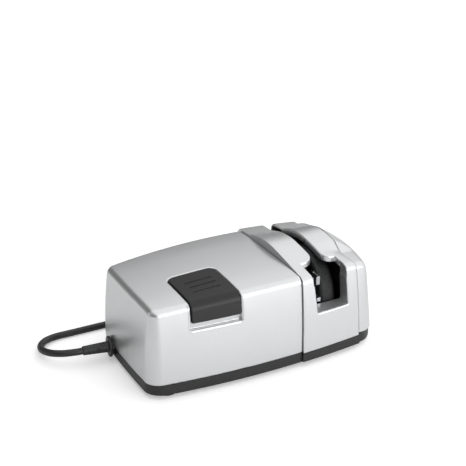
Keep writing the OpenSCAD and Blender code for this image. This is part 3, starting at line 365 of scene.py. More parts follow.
add(pins_nickel, "ShaderNodeOutputMaterial", links={"Surface": (body, "BSDF")})


# Every piece that keeps its CAD mesh is finished the same way: its faces are welded, its sharp
# edges get the small radius of the real part, and its curved faces are shaded smooth.
sharp_edge = math.radians(34)
smooth_faces = bpy.data.node_groups.new("smooth_by_angle", "GeometryNodeTree")
for way in ("INPUT", "OUTPUT"):
    smooth_faces.interface.new_socket("Geometry", in_out=way, socket_type="NodeSocketGeometry")
start = add(smooth_faces, "NodeGroupInput")
clean = add(smooth_faces, "GeometryNodeRemoveAttribute", {"Name": "custom_normal"},
            {"Geometry": (start, "Geometry")})
bend = add(smooth_faces, "GeometryNodeInputMeshEdgeAngle")
soft = add(smooth_faces, "FunctionNodeCompare", {1: sharp_edge}, {0: (bend, "Unsigned Angle")},
           operation="LESS_THAN")
edges = add(smooth_faces, "GeometryNodeSetShadeSmooth", {"Selection": True},
            {"Geometry": (clean, "Geometry"), "Shade Smooth": (soft, "Result")}, domain="EDGE")
faces = add(smooth_faces, "GeometryNodeSetShadeSmooth", {"Shade Smooth": True},
            {"Geometry": (edges, "Geometry")}, domain="FACE")
add(smooth_faces, "NodeGroupOutput", links={"Geometry": (faces, "Geometry")})


def finish(node, material, radius):
    """Gives a CAD piece its material and edges rounded by radius, in millimetres."""
    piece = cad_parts[node]
    for slot in piece.material_slots:
        slot.material = material
    weld = piece.modifiers.new("weld", "WELD")
    weld.merge_threshold = 0.002 / 1000
    if radius:
        edge = piece.modifiers.new("edge_radius", "BEVEL")
        edge.width = radius / 1000
        edge.segments = 2
        edge.limit_method = "ANGLE"
        edge.angle_limit = sharp_edge
    shade = piece.modifiers.new("smooth_faces", "NODES")
    shade.node_group = smooth_faces
    even = piece.modifiers.new("even_normals", "WEIGHTED_NORMAL")
    even.keep_sharp = True


finish("plug_pins", pins_nickel, radius=0.3)


# Base, feet and screws
# The tray that carries everything, moulded in charcoal ABS; the upper shells stand in its rim.
# Four rubber feet are pressed into sockets in its floor, and ten zinc plated screws come up
# through it into the bosses of the shells.

# Spark-eroded ABS: nearly black and evenly dull, its grain of 0.2 mm drawn at 0.4 mm to show
base_abs = blank("moulded_charcoal_abs")
place = add(base_abs, "ShaderNodeTexCoord")
grit = add(base_abs, "ShaderNodeTexNoise", {"Scale": 1000 / 0.4, "Detail": 3.0},
           {"Vector": (place, "Object")})
tone = add(base_abs, "ShaderNodeMix", {"A": colour("#0f0f10"), "B": colour("#171718")},
           {"Factor": (grit, "Fac")}, data_type="RGBA")
grain = add(base_abs, "ShaderNodeBump", {"Strength": 0.3, "Distance": 0.04 / 1000},
            {"Height": (grit, "Fac")})
body = add(base_abs, "ShaderNodeBsdfPrincipled", {"IOR": 1.54, "Roughness": 0.45},
           {"Base Color": (tone, "Result"), "Normal": (grain, "Normal")})
add(base_abs, "ShaderNodeOutputMaterial", links={"Surface": (body, "BSDF")})
finish("base", base_abs, radius=0.4)

# Moulded rubber: black, dull, with paler rubbed patches some 2 mm wide
foot_rubber = blank("moulded_rubber")
place = add(foot_rubber, "ShaderNodeTexCoord")
rub = add(foot_rubber, "ShaderNodeTexNoise", {"Scale": 1000 / 2.0, "Detail": 4.0},
          {"Vector": (place, "Object")})
tone = add(foot_rubber, "ShaderNodeMix", {"A": colour("#141414"), "B": colour("#222222")},
           {"Factor": (rub, "Fac")}, data_type="RGBA")
gloss = add(foot_rubber, "ShaderNodeMapRange", {"To Min": 0.6, "To Max": 0.8}, {"Value": (rub, "Fac")})
grain = add(foot_rubber, "ShaderNodeBump", {"Strength": 0.2, "Distance": 0.05 / 1000},
            {"Height": (rub, "Fac")})
body = add(foot_rubber, "ShaderNodeBsdfPrincipled", {"IOR": 1.52},
           {"Base Color": (tone, "Result"), "Roughness": (gloss, "Result"), "Normal": (grain, "Normal")})
add(foot_rubber, "ShaderNodeOutputMaterial", links={"Surface": (body, "BSDF")})
for side in ("front_left", "front_right", "back_left", "back_right"):
    finish("foot_" + side, foot_rubber, radius=0.4)

# Zinc plated steel: bluish bright metal, uneven in gloss every 1.5 mm from the plating bath. Its
# turning marks of about 0.3 mm are drawn 0.6 mm apart to show; a wave texture repeats after
# tau / 20 of its unit
screw_zinc = blank("zinc_plated_steel")
place = add(screw_zinc, "ShaderNodeTexCoord")
bath = add(screw_zinc, "ShaderNodeTexNoise", {"Scale": 1000 / 1.5, "Detail": 3.0},
           {"Vector": (place, "Object")})
tone = add(screw_zinc, "ShaderNodeMix", {"A": colour("#9fa3a9"), "B": colour("#bcbfc4")},
           {"Factor": (bath, "Fac")}, data_type="RGBA")
gloss = add(screw_zinc, "ShaderNodeMapRange", {"To Min": 0.24, "To Max": 0.4}, {"Value": (bath, "Fac")})
turned = add(screw_zinc, "ShaderNodeTexWave", {"Scale": math.tau / 20 * 1000 / 0.592, "Distortion": 1.0},
             {"Vector": (place, "Object")}, wave_type="RINGS", rings_direction="SPHERICAL")
grain = add(screw_zinc, "ShaderNodeBump", {"Strength": 0.15, "Distance": 0.03 / 1000},
            {"Height": (turned, "Fac")})
body = add(screw_zinc, "ShaderNodeBsdfPrincipled", {"Metallic": 1.0},
           {"Base Color": (tone, "Result"), "Roughness": (gloss, "Result"), "Normal": (grain, "Normal")})
add(screw_zinc, "ShaderNodeOutputMaterial", links={"Surface": (body, "BSDF")})
finish("base_screws", screw_zinc, radius=0.25)


# Wiring in the cord end
# The cord is held by a screwed clamp and ends in a terminal block; two leads run on to the
# switch and to the brushes. A suppression capacitor stands in front of the block.

# Moulded PA: black with short glass fibres of about 0.4 mm, drawn twice as long to show as flecks
black_pa = blank("moulded_glass_filled_pa")
place = add(black_pa, "ShaderNodeTexCoord")
stretch = add(black_pa, "ShaderNodeMapping", {"Scale": (1000 / 0.8, 1000 / 0.3, 1000 / 0.3)},
              {"Vector": (place, "Object")})
fibre = add(black_pa, "ShaderNodeTexNoise", {"Scale": 1.0, "Detail": 2.0}, {"Vector": (stretch, "Vector")})
tone = add(black_pa, "ShaderNodeMix", {"A": colour("#0e0e0f"), "B": colour("#161617")},
           {"Factor": (fibre, "Fac")}, data_type="RGBA")
grain = add(black_pa, "ShaderNodeBump", {"Strength": 0.2, "Distance": 0.03 / 1000},
            {"Height": (fibre, "Fac")})
body = add(black_pa, "ShaderNodeBsdfPrincipled", {"IOR": 1.53, "Roughness": 0.48},
           {"Base Color": (tone, "Result"), "Normal": (grain, "Normal")})
add(black_pa, "ShaderNodeOutputMaterial", links={"Surface": (body, "BSDF")})
finish("cord_clamp", black_pa, radius=0.4)
finish("clamp_screws", screw_zinc, radius=0.3)

# Natural PA: milky off-white that lets a little light in, with flow marks some 3 mm apart
terminal_pa = blank("moulded_natural_pa")
place = add(terminal_pa, "ShaderNodeTexCoord")
flow = add(terminal_pa, "ShaderNodeTexNoise", {"Scale": 1000 / 3.0, "Detail": 2.0},
           {"Vector": (place, "Object")})
tone = add(terminal_pa, "ShaderNodeMix", {"A": colour("#d3cfc2"), "B": colour("#e0ddd2")},
           {"Factor": (flow, "Fac")}, data_type="RGBA")
gloss = add(terminal_pa, "ShaderNodeMapRange", {"To Min": 0.3, "To Max": 0.42}, {"Value": (flow, "Fac")})
body = add(terminal_pa, "ShaderNodeBsdfPrincipled", {"IOR": 1.53, "Subsurface Weight": 0.15,
                                                     "Subsurface Scale": 1.0 / 1000},
           {"Base Color": (tone, "Result"), "Roughness": (gloss, "Result")})
add(terminal_pa, "ShaderNodeOutputMaterial", links={"Surface": (body, "BSDF")})
finish("terminal_block", terminal_pa, radius=0.5)

# Capacitor box: ochre PBT, shiny from a polished mould and a little uneven every 1 mm, closed
# with paler resin at its foot
resin_top = 7.5
capacitor_pbt = blank("moulded_ochre_pbt")
place = add(capacitor_pbt, "ShaderNodeTexCoord")
spot = add(capacitor_pbt, "ShaderNodeSeparateXYZ", links={"Vector": (place, "Object")})
resin = add(capacitor_pbt, "ShaderNodeMath", {1: resin_top / 1000}, {0: (spot, "Z")}, operation="LESS_THAN")
skin = add(capacitor_pbt, "ShaderNodeTexNoise", {"Scale": 1000 / 1.0, "Detail": 3.0},
           {"Vector": (place, "Object")})
tone = add(capacitor_pbt, "ShaderNodeMix", {"A": colour("#c08d2b"), "B": colour("#d8b469")},
           {"Factor": (resin, "Value")}, data_type="RGBA")
gloss = add(capacitor_pbt, "ShaderNodeMapRange", {"To Min": 0.22, "To Max": 0.36}, {"Value": (skin, "Fac")})
body = add(capacitor_pbt, "ShaderNodeBsdfPrincipled", {"IOR": 1.57},
           {"Base Color": (tone, "Result"), "Roughness": (gloss, "Result")})
add(capacitor_pbt, "ShaderNodeOutputMaterial", links={"Surface": (body, "BSDF")})
finish("capacitor", capacitor_pbt, radius=0.6)

# PVC core insulation: smooth and shiny, a little uneven every 0.7 mm. The lead in front is
# brown and the one behind is blue
between_leads = 25.0
lead_pvc = blank("extruded_core_pvc")
place = add(lead_pvc, "ShaderNodeTexCoord")
spot = add(lead_pvc, "ShaderNodeSeparateXYZ", links={"Vector": (place, "Object")})
second = add(lead_pvc, "ShaderNodeMath", {1: between_leads / 1000},
             {0: (spot, "Y")}, operation="GREATER_THAN")
skin = add(lead_pvc, "ShaderNodeTexNoise", {"Scale": 1000 / 0.7, "Detail": 2.0},
           {"Vector": (place, "Object")})
tone = add(lead_pvc, "ShaderNodeMix", {"A": colour("#5b3320"), "B": colour("#24518f")},
           {"Factor": (second, "Value")}, data_type="RGBA")
gloss = add(lead_pvc, "ShaderNodeMapRange", {"To Min": 0.25, "To Max": 0.38}, {"Value": (skin, "Fac")})
body = add(lead_pvc, "ShaderNodeBsdfPrincipled", {"IOR": 1.53},
           {"Base Color": (tone, "Result"), "Roughness": (gloss, "Result")})
add(lead_pvc, "ShaderNodeOutputMaterial", links={"Surface": (body, "BSDF")})
finish("lead_wires", lead_pvc, radius=0)


# Motor
# A small series motor: a stack of iron laminations with two saddle coils, an armature with its
# commutator on a ground shaft, carbon brushes on a phenolic plate, a fan, and two sheet steel
# brackets with sintered bushes that two tie bolts pull together.
axis_y, axis_z = -6.5, 46.0
stack_lo, stack_hi = -24.0, 14.0
stack_middle, stack_half = (stack_lo + stack_hi) / 2, (stack_hi - stack_lo) / 2

# Zinc plated sheet: crystals of about 4 mm, each a little lighter or darker than the next
zinc_sheet = blank("galvanised_sheet_steel")
place = add(zinc_sheet, "ShaderNodeTexCoord")
crystal = add(zinc_sheet, "ShaderNodeTexVoronoi", {"Scale": 1000 / 4.0}, {"Vector": (place, "Object")})
shade = add(zinc_sheet, "ShaderNodeSeparateXYZ", links={"Vector": (crystal, "Color")})
tone = add(zinc_sheet, "ShaderNodeMix", {"A": colour("#8e9298"), "B": colour("#b3b7bc")},
           {"Factor": (shade, "X")}, data_type="RGBA")
gloss = add(zinc_sheet, "ShaderNodeMapRange", {"To Min": 0.3, "To Max": 0.5}, {"Value": (shade, "Y")})
body = add(zinc_sheet, "ShaderNodeBsdfPrincipled", {"Metallic": 1.0},
           {"Base Color": (tone, "Result"), "Roughness": (gloss, "Result")})
add(zinc_sheet, "ShaderNodeOutputMaterial", links={"Surface": (body, "BSDF")})
for end in ("rear", "front"):
    finish("bracket_" + end, zinc_sheet, radius=0.3)
finish("tie_bolts", screw_zinc, radius=0.3)

# Sintered bronze: brown and dull with open pores of about 0.2 mm, drawn at 0.5 mm to show
bush_bronze = blank("sintered_bronze")
place = add(bush_bronze, "ShaderNodeTexCoord")
pore = add(bush_bronze, "ShaderNodeTexVoronoi", {"Scale": 1000 / 0.5}, {"Vector": (place, "Object")})
tone = add(bush_bronze, "ShaderNodeMix", {"A": colour("#6d5230"), "B": colour("#a07c4c")},
           {"Factor": (pore, "Distance")}, data_type="RGBA")
grain = add(bush_bronze, "ShaderNodeBump", {"Strength": 0.3, "Distance": 0.05 / 1000},
            {"Height": (pore, "Distance")})
body = add(bush_bronze, "ShaderNodeBsdfPrincipled", {"Metallic": 1.0, "Roughness": 0.45},
           {"Base Color": (tone, "Result"), "Normal": (grain, "Normal")})
add(bush_bronze, "ShaderNodeOutputMaterial", links={"Surface": (body, "BSDF")})
for end in ("rear", "front"):
    finish("bush_" + end, bush_bronze, radius=0.3)

# Punched laminations 0.5 mm thick, drawn 1 mm apart: dark iron, oxidised in patches of 6 mm,
# with a bright burr on each edge, stacked along the shaft
least_burr = 0.25
laminations = blank("stacked_lamination_iron")
place = add(laminations, "ShaderNodeTexCoord")
sheet = add(laminations, "ShaderNodeTexWave", {"Scale": math.tau / 20 * 1000 / 1.0, "Distortion": 0.0},
            {"Vector": (place, "Object")}, wave_type="BANDS", bands_direction="X", wave_profile="SAW")
blot = add(laminations, "ShaderNodeTexNoise", {"Scale": 1000 / 6.0, "Detail": 3.0},
           {"Vector": (place, "Object")})
edge = add(laminations, "ShaderNodeMath", {2: least_burr},
           {0: (sheet, "Fac"), 1: (blot, "Fac")}, operation="MULTIPLY_ADD")
tone = add(laminations, "ShaderNodeMix", {"A": colour("#3a3c40"), "B": colour("#6e7175")},
           {"Factor": (edge, "Value")}, data_type="RGBA")
grain = add(laminations, "ShaderNodeBump", {"Strength": 0.4, "Distance": 0.1 / 1000},
            {"Height": (sheet, "Fac")})
body = add(laminations, "ShaderNodeBsdfPrincipled", {"Metallic": 0.9, "Roughness": 0.48},
           {"Base Color": (tone, "Result"), "Normal": (grain, "Normal")})
add(laminations, "ShaderNodeOutputMaterial", links={"Surface": (body, "BSDF")})
finish("stator", laminations, radius=0.2)
finish("armature_core", laminations, radius=0.2)

# Enamelled copper wire: orange brown under varnish that is uneven every 4 mm, each turn catching
# its own light. The wire of 0.6 mm is drawn as ridges 1 mm apart in the mesh
copper_wire = blank("enamelled_copper_wire")
place = add(copper_wire, "ShaderNodeTexCoord")
varnish = add(copper_wire, "ShaderNodeTexNoise", {"Scale": 1000 / 4.0, "Detail": 3.0},
              {"Vector": (place, "Object")})
tone = add(copper_wire, "ShaderNodeMix", {"A": colour("#8a3f1c"), "B": colour("#b8622f")},
           {"Factor": (varnish, "Fac")}, data_type="RGBA")
gloss = add(copper_wire, "ShaderNodeMapRange", {"To Min": 0.22, "To Max": 0.4}, {"Value": (varnish, "Fac")})
body = add(copper_wire, "ShaderNodeBsdfPrincipled",
           {"Metallic": 0.9, "Coat Weight": 0.4, "Coat Roughness": 0.15},
           {"Base Color": (tone, "Result"), "Roughness": (gloss, "Result")})
add(copper_wire, "ShaderNodeOutputMaterial", links={"Surface": (body, "BSDF")})


def wound(name, paths, wide, high, strands):
    """Bundles of parallel wires along closed paths, with a ridge for each wire of the skin."""
    squareness, ridge_share, strand_points = 5, 0.05, 4
    points, quads = [], []
    for path in paths:
        path = np.array(path, float)
        first = len(points)
        n, m = len(path), strands * strand_points
        along = np.roll(path, -1, axis=0) - np.roll(path, 1, axis=0)
        along /= np.linalg.norm(along, axis=1)[:, None]
        out = path - path.mean(axis=0)
        out -= (out * along).sum(axis=1)[:, None] * along
        out /= np.linalg.norm(out, axis=1)[:, None]
        side = np.cross(along, out)
        for j in range(m):
            turn = math.tau * j / m
            c, s = math.cos(turn), math.sin(turn)
            full = (abs(c) ** squareness + abs(s) ** squareness) ** (-1 / squareness)
            full *= 1 - ridge_share * (1 + math.cos(strands * turn))
            spot = path + out * (wide / 2 * c * full) + side * (high / 2 * s * full)
            points.extend(spot / 1000)
        for j in range(m):
            up = (j + 1) % m
            for i in range(n):
                on = (i + 1) % n
                here, above = first + j * n, first + up * n
                quads.append((here + i, above + i, above + on, here + on))
    mesh = bpy.data.meshes.new(name)
    mesh.from_pydata(points, [], quads)
    mesh.polygons.foreach_set("use_smooth", np.ones(len(quads), bool))
    mesh.update()
    piece = bpy.data.objects.new(name, mesh)
    bpy.context.scene.collection.objects.link(piece)
    piece.data.materials.append(copper_wire)
    return piece


# A saddle coil: two straight sides in the stator's slots, with rounded ends that rise over the
# armature's windings on both faces of the stack
saddle_y, side_z, end_z, end_over = 18.1, 8.5, 14.2, 2.6
rise_y, rise_run = 17.5, 5.0
saddle_squareness, saddle_points = 8, 72


def saddle(up):
    """The middle line of the coil above the armature, or with up at -1 of the one below it."""
    line = []
    for turn in np.linspace(0, math.tau, saddle_points, endpoint=False):
        c, s = math.cos(turn), math.sin(turn)
        full = (abs(c) ** saddle_squareness + abs(s) ** saddle_squareness) ** (-1 / saddle_squareness)
        along, y = (stack_half + end_over) * c * full, saddle_y * s * full
        past = smooth_step((abs(along) - stack_half) / end_over) * smooth_step((rise_y - abs(y)) / rise_run)
        z = axis_z + up * (side_z + (end_z - side_z) * past)
        line.append((stack_middle + along, axis_y + y, z))
    return line


field_coils = wound("field_coils", [saddle(1), saddle(-1)], wide=4.2, high=11.5, strands=30)
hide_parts("field_coils")
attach(field_coils, "appliance")


# The armature's winding: twelve bundles that leave a slot, cross the face of the stack beside
# the shaft and go back through the fifth slot on, each lying a little further out than the last
bundles, slots_on = 12, 5
slot_r, face_gap, face_spread, face_dip = 10.2, 1.6, 4.2, 1.6


def armature_loop(i):
    line = []
    here, there = math.tau * i / bundles, math.tau * (i + slots_on) / bundles
    over = face_gap + face_spread * i / (bundles - 1)
    near, far = stack_hi + over, stack_lo - over
    for x, away, a, b in ((near, far, here, there), (far, near, there, here)):
        for t in np.linspace(0, 1, 12):
            turn = a + (b - a) * t
            r = slot_r - face_dip * math.sin(math.pi * t)
            line.append((x, axis_y - r * math.sin(turn), axis_z + r * math.cos(turn)))
        for t in np.linspace(0.06, 0.94, 10):
            line.append((x + (away - x) * t, axis_y - slot_r * math.sin(b), axis_z + slot_r * math.cos(b)))
    return line


loops = [armature_loop(i) for i in range(bundles)]
winding = wound("armature_winding", loops, wide=1.9, high=1.9, strands=8)
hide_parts("armature_winding")
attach(winding, "rotor")

# Turned copper: 24 bars with dark mica between them, under a brown polished film from the brushes
# that is uneven every 2 mm
bar_count, mica_share = 24, 0.16
bars = blank("turned_commutator_copper")
place = add(bars, "ShaderNodeTexCoord")
centre = add(bars, "ShaderNodeMapping", {"Location": (0, -axis_y / 1000, -axis_z / 1000)},
             {"Vector": (place, "Object")})
spot = add(bars, "ShaderNodeSeparateXYZ", links={"Vector": (centre, "Vector")})
turn = add(bars, "ShaderNodeMath", links={0: (spot, "Y"), 1: (spot, "Z")}, operation="ARCTAN2")
count = add(bars, "ShaderNodeMath", {1: bar_count / math.tau}, {0: (turn, "Value")}, operation="MULTIPLY")
part = add(bars, "ShaderNodeMath", links={0: (count, "Value")}, operation="FRACT")
mica = add(bars, "ShaderNodeMath", {1: mica_share}, {0: (part, "Value")}, operation="LESS_THAN")
track = add(bars, "ShaderNodeTexNoise", {"Scale": 1000 / 2.0, "Detail": 2.0}, {"Vector": (place, "Object")})
worn = add(bars, "ShaderNodeMix", {"A": colour("#9c5a36"), "B": colour("#c98a63")},
           {"Factor": (track, "Fac")}, data_type="RGBA")
tone = add(bars, "ShaderNodeMix", {"B": colour("#2a211b")},
           {"Factor": (mica, "Value"), "A": (worn, "Result")}, data_type="RGBA")
copper = add(bars, "ShaderNodeMath", {0: 1.0}, {1: (mica, "Value")}, operation="SUBTRACT")
grain = add(bars, "ShaderNodeBump", {"Strength": 0.6, "Distance": 0.3 / 1000},
            {"Height": (copper, "Value")})
body = add(bars, "ShaderNodeBsdfPrincipled", {"Roughness": 0.3},
           {"Base Color": (tone, "Result"), "Metallic": (copper, "Value"), "Normal": (grain, "Normal")})
add(bars, "ShaderNodeOutputMaterial", links={"Surface": (body, "BSDF")})
finish("commutator", bars, radius=0.3)

# Ground steel: bright, with fine marks round the shaft some 0.2 mm apart
shaft_steel = blank("ground_shaft_steel")
place = add(shaft_steel, "ShaderNodeTexCoord")
stretch = add(shaft_steel, "ShaderNodeMapping", {"Scale": (1000 / 0.2, 1000 / 4.0, 1000 / 4.0)},
              {"Vector": (place, "Object")})
mark = add(shaft_steel, "ShaderNodeTexNoise", {"Scale": 1.0, "Detail": 2.0},
           {"Vector": (stretch, "Vector")})
tone = add(shaft_steel, "ShaderNodeMix", {"A": colour("#a6a8ab"), "B": colour("#cccdd0")},
           {"Factor": (mark, "Fac")}, data_type="RGBA")
gloss = add(shaft_steel, "ShaderNodeMapRange", {"To Min": 0.14, "To Max": 0.3}, {"Value": (mark, "Fac")})
body = add(shaft_steel, "ShaderNodeBsdfPrincipled", {"Metallic": 1.0},
           {"Base Color": (tone, "Result"), "Roughness": (gloss, "Result")})
add(shaft_steel, "ShaderNodeOutputMaterial", links={"Surface": (body, "BSDF")})
finish("motor_shaft", shaft_steel, radius=0.4)

# Phenolic board: brown, pressed from paper, with fibre clouds of about 2 mm and a dull sheen
phenolic = blank("punched_phenolic_board")
place = add(phenolic, "ShaderNodeTexCoord")
paper = add(phenolic, "ShaderNodeTexNoise", {"Scale": 1000 / 2.0, "Detail": 5.0},
            {"Vector": (place, "Object")})
tone = add(phenolic, "ShaderNodeMix", {"A": colour("#432813"), "B": colour("#6b4424")},
           {"Factor": (paper, "Fac")}, data_type="RGBA")
grain = add(phenolic, "ShaderNodeBump", {"Strength": 0.15, "Distance": 0.04 / 1000},
            {"Height": (paper, "Fac")})
body = add(phenolic, "ShaderNodeBsdfPrincipled", {"IOR": 1.6, "Roughness": 0.42},
           {"Base Color": (tone, "Result"), "Normal": (grain, "Normal")})
add(phenolic, "ShaderNodeOutputMaterial", links={"Surface": (body, "BSDF")})
finish("brush_carrier", phenolic, radius=0.3)

# Pressed carbon: near black, with graphite that glints in specks of 0.1 mm, drawn at 0.3 mm
brush_carbon = blank("pressed_carbon")
place = add(brush_carbon, "ShaderNodeTexCoord")
speck = add(brush_carbon, "ShaderNodeTexVoronoi", {"Scale": 1000 / 0.3}, {"Vector": (place, "Object")})
shade = add(brush_carbon, "ShaderNodeSeparateXYZ", links={"Vector": (speck, "Color")})
tone = add(brush_carbon, "ShaderNodeMix", {"A": colour("#171719"), "B": colour("#3a3a3d")},
           {"Factor": (shade, "X")}, data_type="RGBA")
gloss = add(brush_carbon, "ShaderNodeMapRange", {"To Min": 0.35, "To Max": 0.65}, {"Value": (shade, "X")})
body = add(brush_carbon, "ShaderNodeBsdfPrincipled", {"Metallic": 0.2},
           {"Base Color": (tone, "Result"), "Roughness": (gloss, "Result")})
add(brush_carbon, "ShaderNodeOutputMaterial", links={"Surface": (body, "BSDF")})
finish("brushes", brush_carbon, radius=0.15)
finish("fan", black_pa, radius=0.2)


# Grinding wheel and its guard
# The wheel is clamped on the motor's shaft between two turned flanges by a nut. A moulded guard
# catches the dust round it, and two spring steel strips with pads guide the blade beside it.

# Vitrified corundum: dark grit of 0.3 mm that glints grain by grain, drawn at 0.6 mm to show
wheel_grit = blank("vitrified_corundum")
place = add(wheel_grit, "ShaderNodeTexCoord")
grit = add(wheel_grit, "ShaderNodeTexVoronoi", {"Scale": 1000 / 0.6}, {"Vector": (place, "Object")})
shade = add(wheel_grit, "ShaderNodeSeparateXYZ", links={"Vector": (grit, "Color")})
tone = add(wheel_grit, "ShaderNodeMix", {"A": colour("#08090a"), "B": colour("#191a1b")},
           {"Factor": (shade, "X")}, data_type="RGBA")
gloss = add(wheel_grit, "ShaderNodeMapRange", {"To Min": 0.42, "To Max": 0.8}, {"Value": (shade, "Y")})
grain = add(wheel_grit, "ShaderNodeBump", {"Strength": 0.35, "Distance": 0.1 / 1000},
            {"Height": (grit, "Distance")})
body = add(wheel_grit, "ShaderNodeBsdfPrincipled", {"IOR": 1.5},
           {"Base Color": (tone, "Result"), "Roughness": (gloss, "Result"), "Normal": (grain, "Normal")})
add(wheel_grit, "ShaderNodeOutputMaterial", links={"Surface": (body, "BSDF")})
finish("grinding_wheel", wheel_grit, radius=0)
finish("wheel_flanges", screw_zinc, radius=0.3)
finish("wheel_nut", screw_zinc, radius=0.4)
finish("wheel_guard", black_pa, radius=0.4)

# Bright spring steel: rolled strip and wire, with straight marks 0.2 mm wide and 10 mm long
spring_steel = blank("rolled_spring_steel")
place = add(spring_steel, "ShaderNodeTexCoord")
stretch = add(spring_steel, "ShaderNodeMapping", {"Scale": (1000 / 0.2, 1000 / 10.0, 1000 / 0.2)},
              {"Vector": (place, "Object")})
mark = add(spring_steel, "ShaderNodeTexNoise", {"Scale": 1.0, "Detail": 2.0},
           {"Vector": (stretch, "Vector")})
tone = add(spring_steel, "ShaderNodeMix", {"A": colour("#a9abad"), "B": colour("#d2d3d5")},
           {"Factor": (mark, "Fac")}, data_type="RGBA")
gloss = add(spring_steel, "ShaderNodeMapRange", {"To Min": 0.22, "To Max": 0.38}, {"Value": (mark, "Fac")})
body = add(spring_steel, "ShaderNodeBsdfPrincipled", {"Metallic": 1.0},
           {"Base Color": (tone, "Result"), "Roughness": (gloss, "Result")})
add(spring_steel, "ShaderNodeOutputMaterial", links={"Surface": (body, "BSDF")})

# Each strip has a web and two pads, which are given by their front, back, lower and upper edge
strip_t, web_lo, web_hi, web_reach = 1.0, -31.45, -28.65, 37.6
pads = ((-40.9, -28.9, 62.5, 70.0), (-42.8, -28.6, 47.3, 50.9))


def guide_field(at, fold):
    """A strip beside the blade, with two pads whose front edges are folded to the left."""
    def field(x, y, z):
        plate = np.maximum(between(y, web_lo, web_hi), np.hypot(y - axis_y, z - axis_z) - web_reach)
        turned = np.inf
        for front, back, low, high in pads:
            level = between(z, low, high)
            plate = np.minimum(plate, np.maximum(between(y, front, back), level))
            turned = np.minimum(turned, np.maximum(between(y, front, front + strip_t), level))
        plate = np.maximum(plate, between(x, at - strip_t / 2, at + strip_t / 2))
        turned = np.maximum(turned, between(x, at + strip_t / 2 - 2 * fold, at + strip_t / 2))
        return round_min(plate, turned, r=0.4)
    return field


for side, at, fold in (("left", 47.3, 0.5), ("right", 53.7, 1.7)):
    low, high = (at - 3.2, -43, 14), (at + 0.6, -28.4, 70.1)
    guide = shell_mesh("guide_strip_" + side, guide_field(at, fold), low, high, step=0.4)
    guide.data.materials.append(spring_steel)
    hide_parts("guide_" + side)
    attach(guide, "appliance")


# Switch and its bracket
# A snap switch under the button, on a sheet steel bracket that also carries the button's return
# spring. The button's post presses the red plunger.
finish("switch_body", black_pa, radius=0.4)
finish("switch_bracket", zinc_sheet, radius=0.25)

# Moulded PBT: deep red, smooth and shiny, a little uneven every 0.8 mm
plunger_pbt = blank("moulded_red_pbt")
place = add(plunger_pbt, "ShaderNodeTexCoord")
skin = add(plunger_pbt, "ShaderNodeTexNoise", {"Scale": 1000 / 0.8, "Detail": 2.0},
           {"Vector": (place, "Object")})
tone = add(plunger_pbt, "ShaderNodeMix", {"A": colour("#8a2720"), "B": colour("#9c332a")},
           {"Factor": (skin, "Fac")}, data_type="RGBA")
gloss = add(plunger_pbt, "ShaderNodeMapRange", {"To Min": 0.22, "To Max": 0.34}, {"Value": (skin, "Fac")})
body = add(plunger_pbt, "ShaderNodeBsdfPrincipled", {"IOR": 1.57},
           {"Base Color": (tone, "Result"), "Roughness": (gloss, "Result")})
add(plunger_pbt, "ShaderNodeOutputMaterial", links={"Surface": (body, "BSDF")})
finish("switch_plunger", plunger_pbt, radius=0.3)
finish("button_spring", spring_steel, radius=0)
finish("button_pin", shaft_steel, radius=0.3)


# Housing
# The long upper shell from the cord end to the head, moulded in ABS and sprayed with satin
# silver paint. Its walls lean in towards the top, and the round shoulder and the rim of the
# button's opening are moulded with it. Screws from below hold it on the base.
# In plan: half the length and depth, and how far the sides and ends come in towards the corners
half_l, half_d = 110.0, 60.5
side_bow, tail_bow, head_bow = 8.8, 1.6, 7.0
corner_r, shoulder_r = 11.0, 4.5
# In height: the base's rim, the top with its fall to the ends and edges, and the walls' lean
split_z, top_z = 13.5, 83.0
top_fall, edge_fall, edge_roll, roll_from, roll_run = 5.0, 1.5, 0.9, 26.0, 34.0
wall_lean, lean_end, wall_t = 4.2, 3.5, 2.4
# Where the head begins, and the shell's gap to it
head_lo, seam = 27.25, 0.15
# The button's middle, width, back edge, corners and play, and the floor of its room
button_x, button_w, button_back, button_r, button_gap = -51.0, 42.0, 5.5, 6.0, 0.7
room_z = 57.3
gland_hole_r, gland_hole_end = 5.65, -95.0


def body_top(x, y):
    """Height of the top: highest in the middle, falling to all sides and more at the edges."""
    roll = edge_roll * np.clip((np.abs(y) - roll_from) / roll_run, 0, 2) ** 2
    return top_z - top_fall * (x / half_l) ** 2 - edge_fall * (y / half_d) ** 2 - roll


def leaning(z, top):
    """How far the walls have come in at a height, growing up to lean_end below the top."""
    return wall_lean * np.clip((z - split_z) / (top - lean_end - split_z), 0, 1.1) ** 2


def walls(x, y, out):
    """How far a place is outside the body's outline moved out by out."""
    side = np.abs(y) - (half_d + out - side_bow * (x / half_l) ** 2)
    bow = np.where(x > 0, head_bow, tail_bow)
    end = np.abs(x) - (half_l + out - bow * (y / half_d) ** 2)
    return round_max(side, end, corner_r)


def body_form(x, y, z, out=0.0, fold=shoulder_r):
    """The whole body moved out by out, with its shoulder rounded to fold."""
    top = body_top(x, y)
    return round_max(walls(x, y, out) + leaning(z, top), z - top - out, fold)


def opening(x, y, out):
    """The button's outline moved out by out, open towards the front."""
    return round_max(np.abs(x - button_x) - button_w / 2 - out, y + button_back - out, button_r + out)


def housing_field(x, y, z):
    """The body as a shell that ends at the head, with the button's opening and the relief's hole."""
    form = body_form(x, y, z)
    shell = np.maximum(form, -(form + wall_t))
    hole = np.maximum(opening(x, y, button_gap), room_z - z)
    whole = round_max(shell, -hole, r=1.3)
    turned = (y - exit_at[1]) * math.cos(exit_turn) + (x + half_l) * math.sin(exit_turn)
    socket = np.maximum(np.hypot(turned, z - exit_at[2]) - gland_hole_r, x - gland_hole_end)
    whole = round_max(np.maximum(whole, -socket), x - (head_lo - seam), r=0.7)
    return round_max(whole, split_z - z, r=0.5)


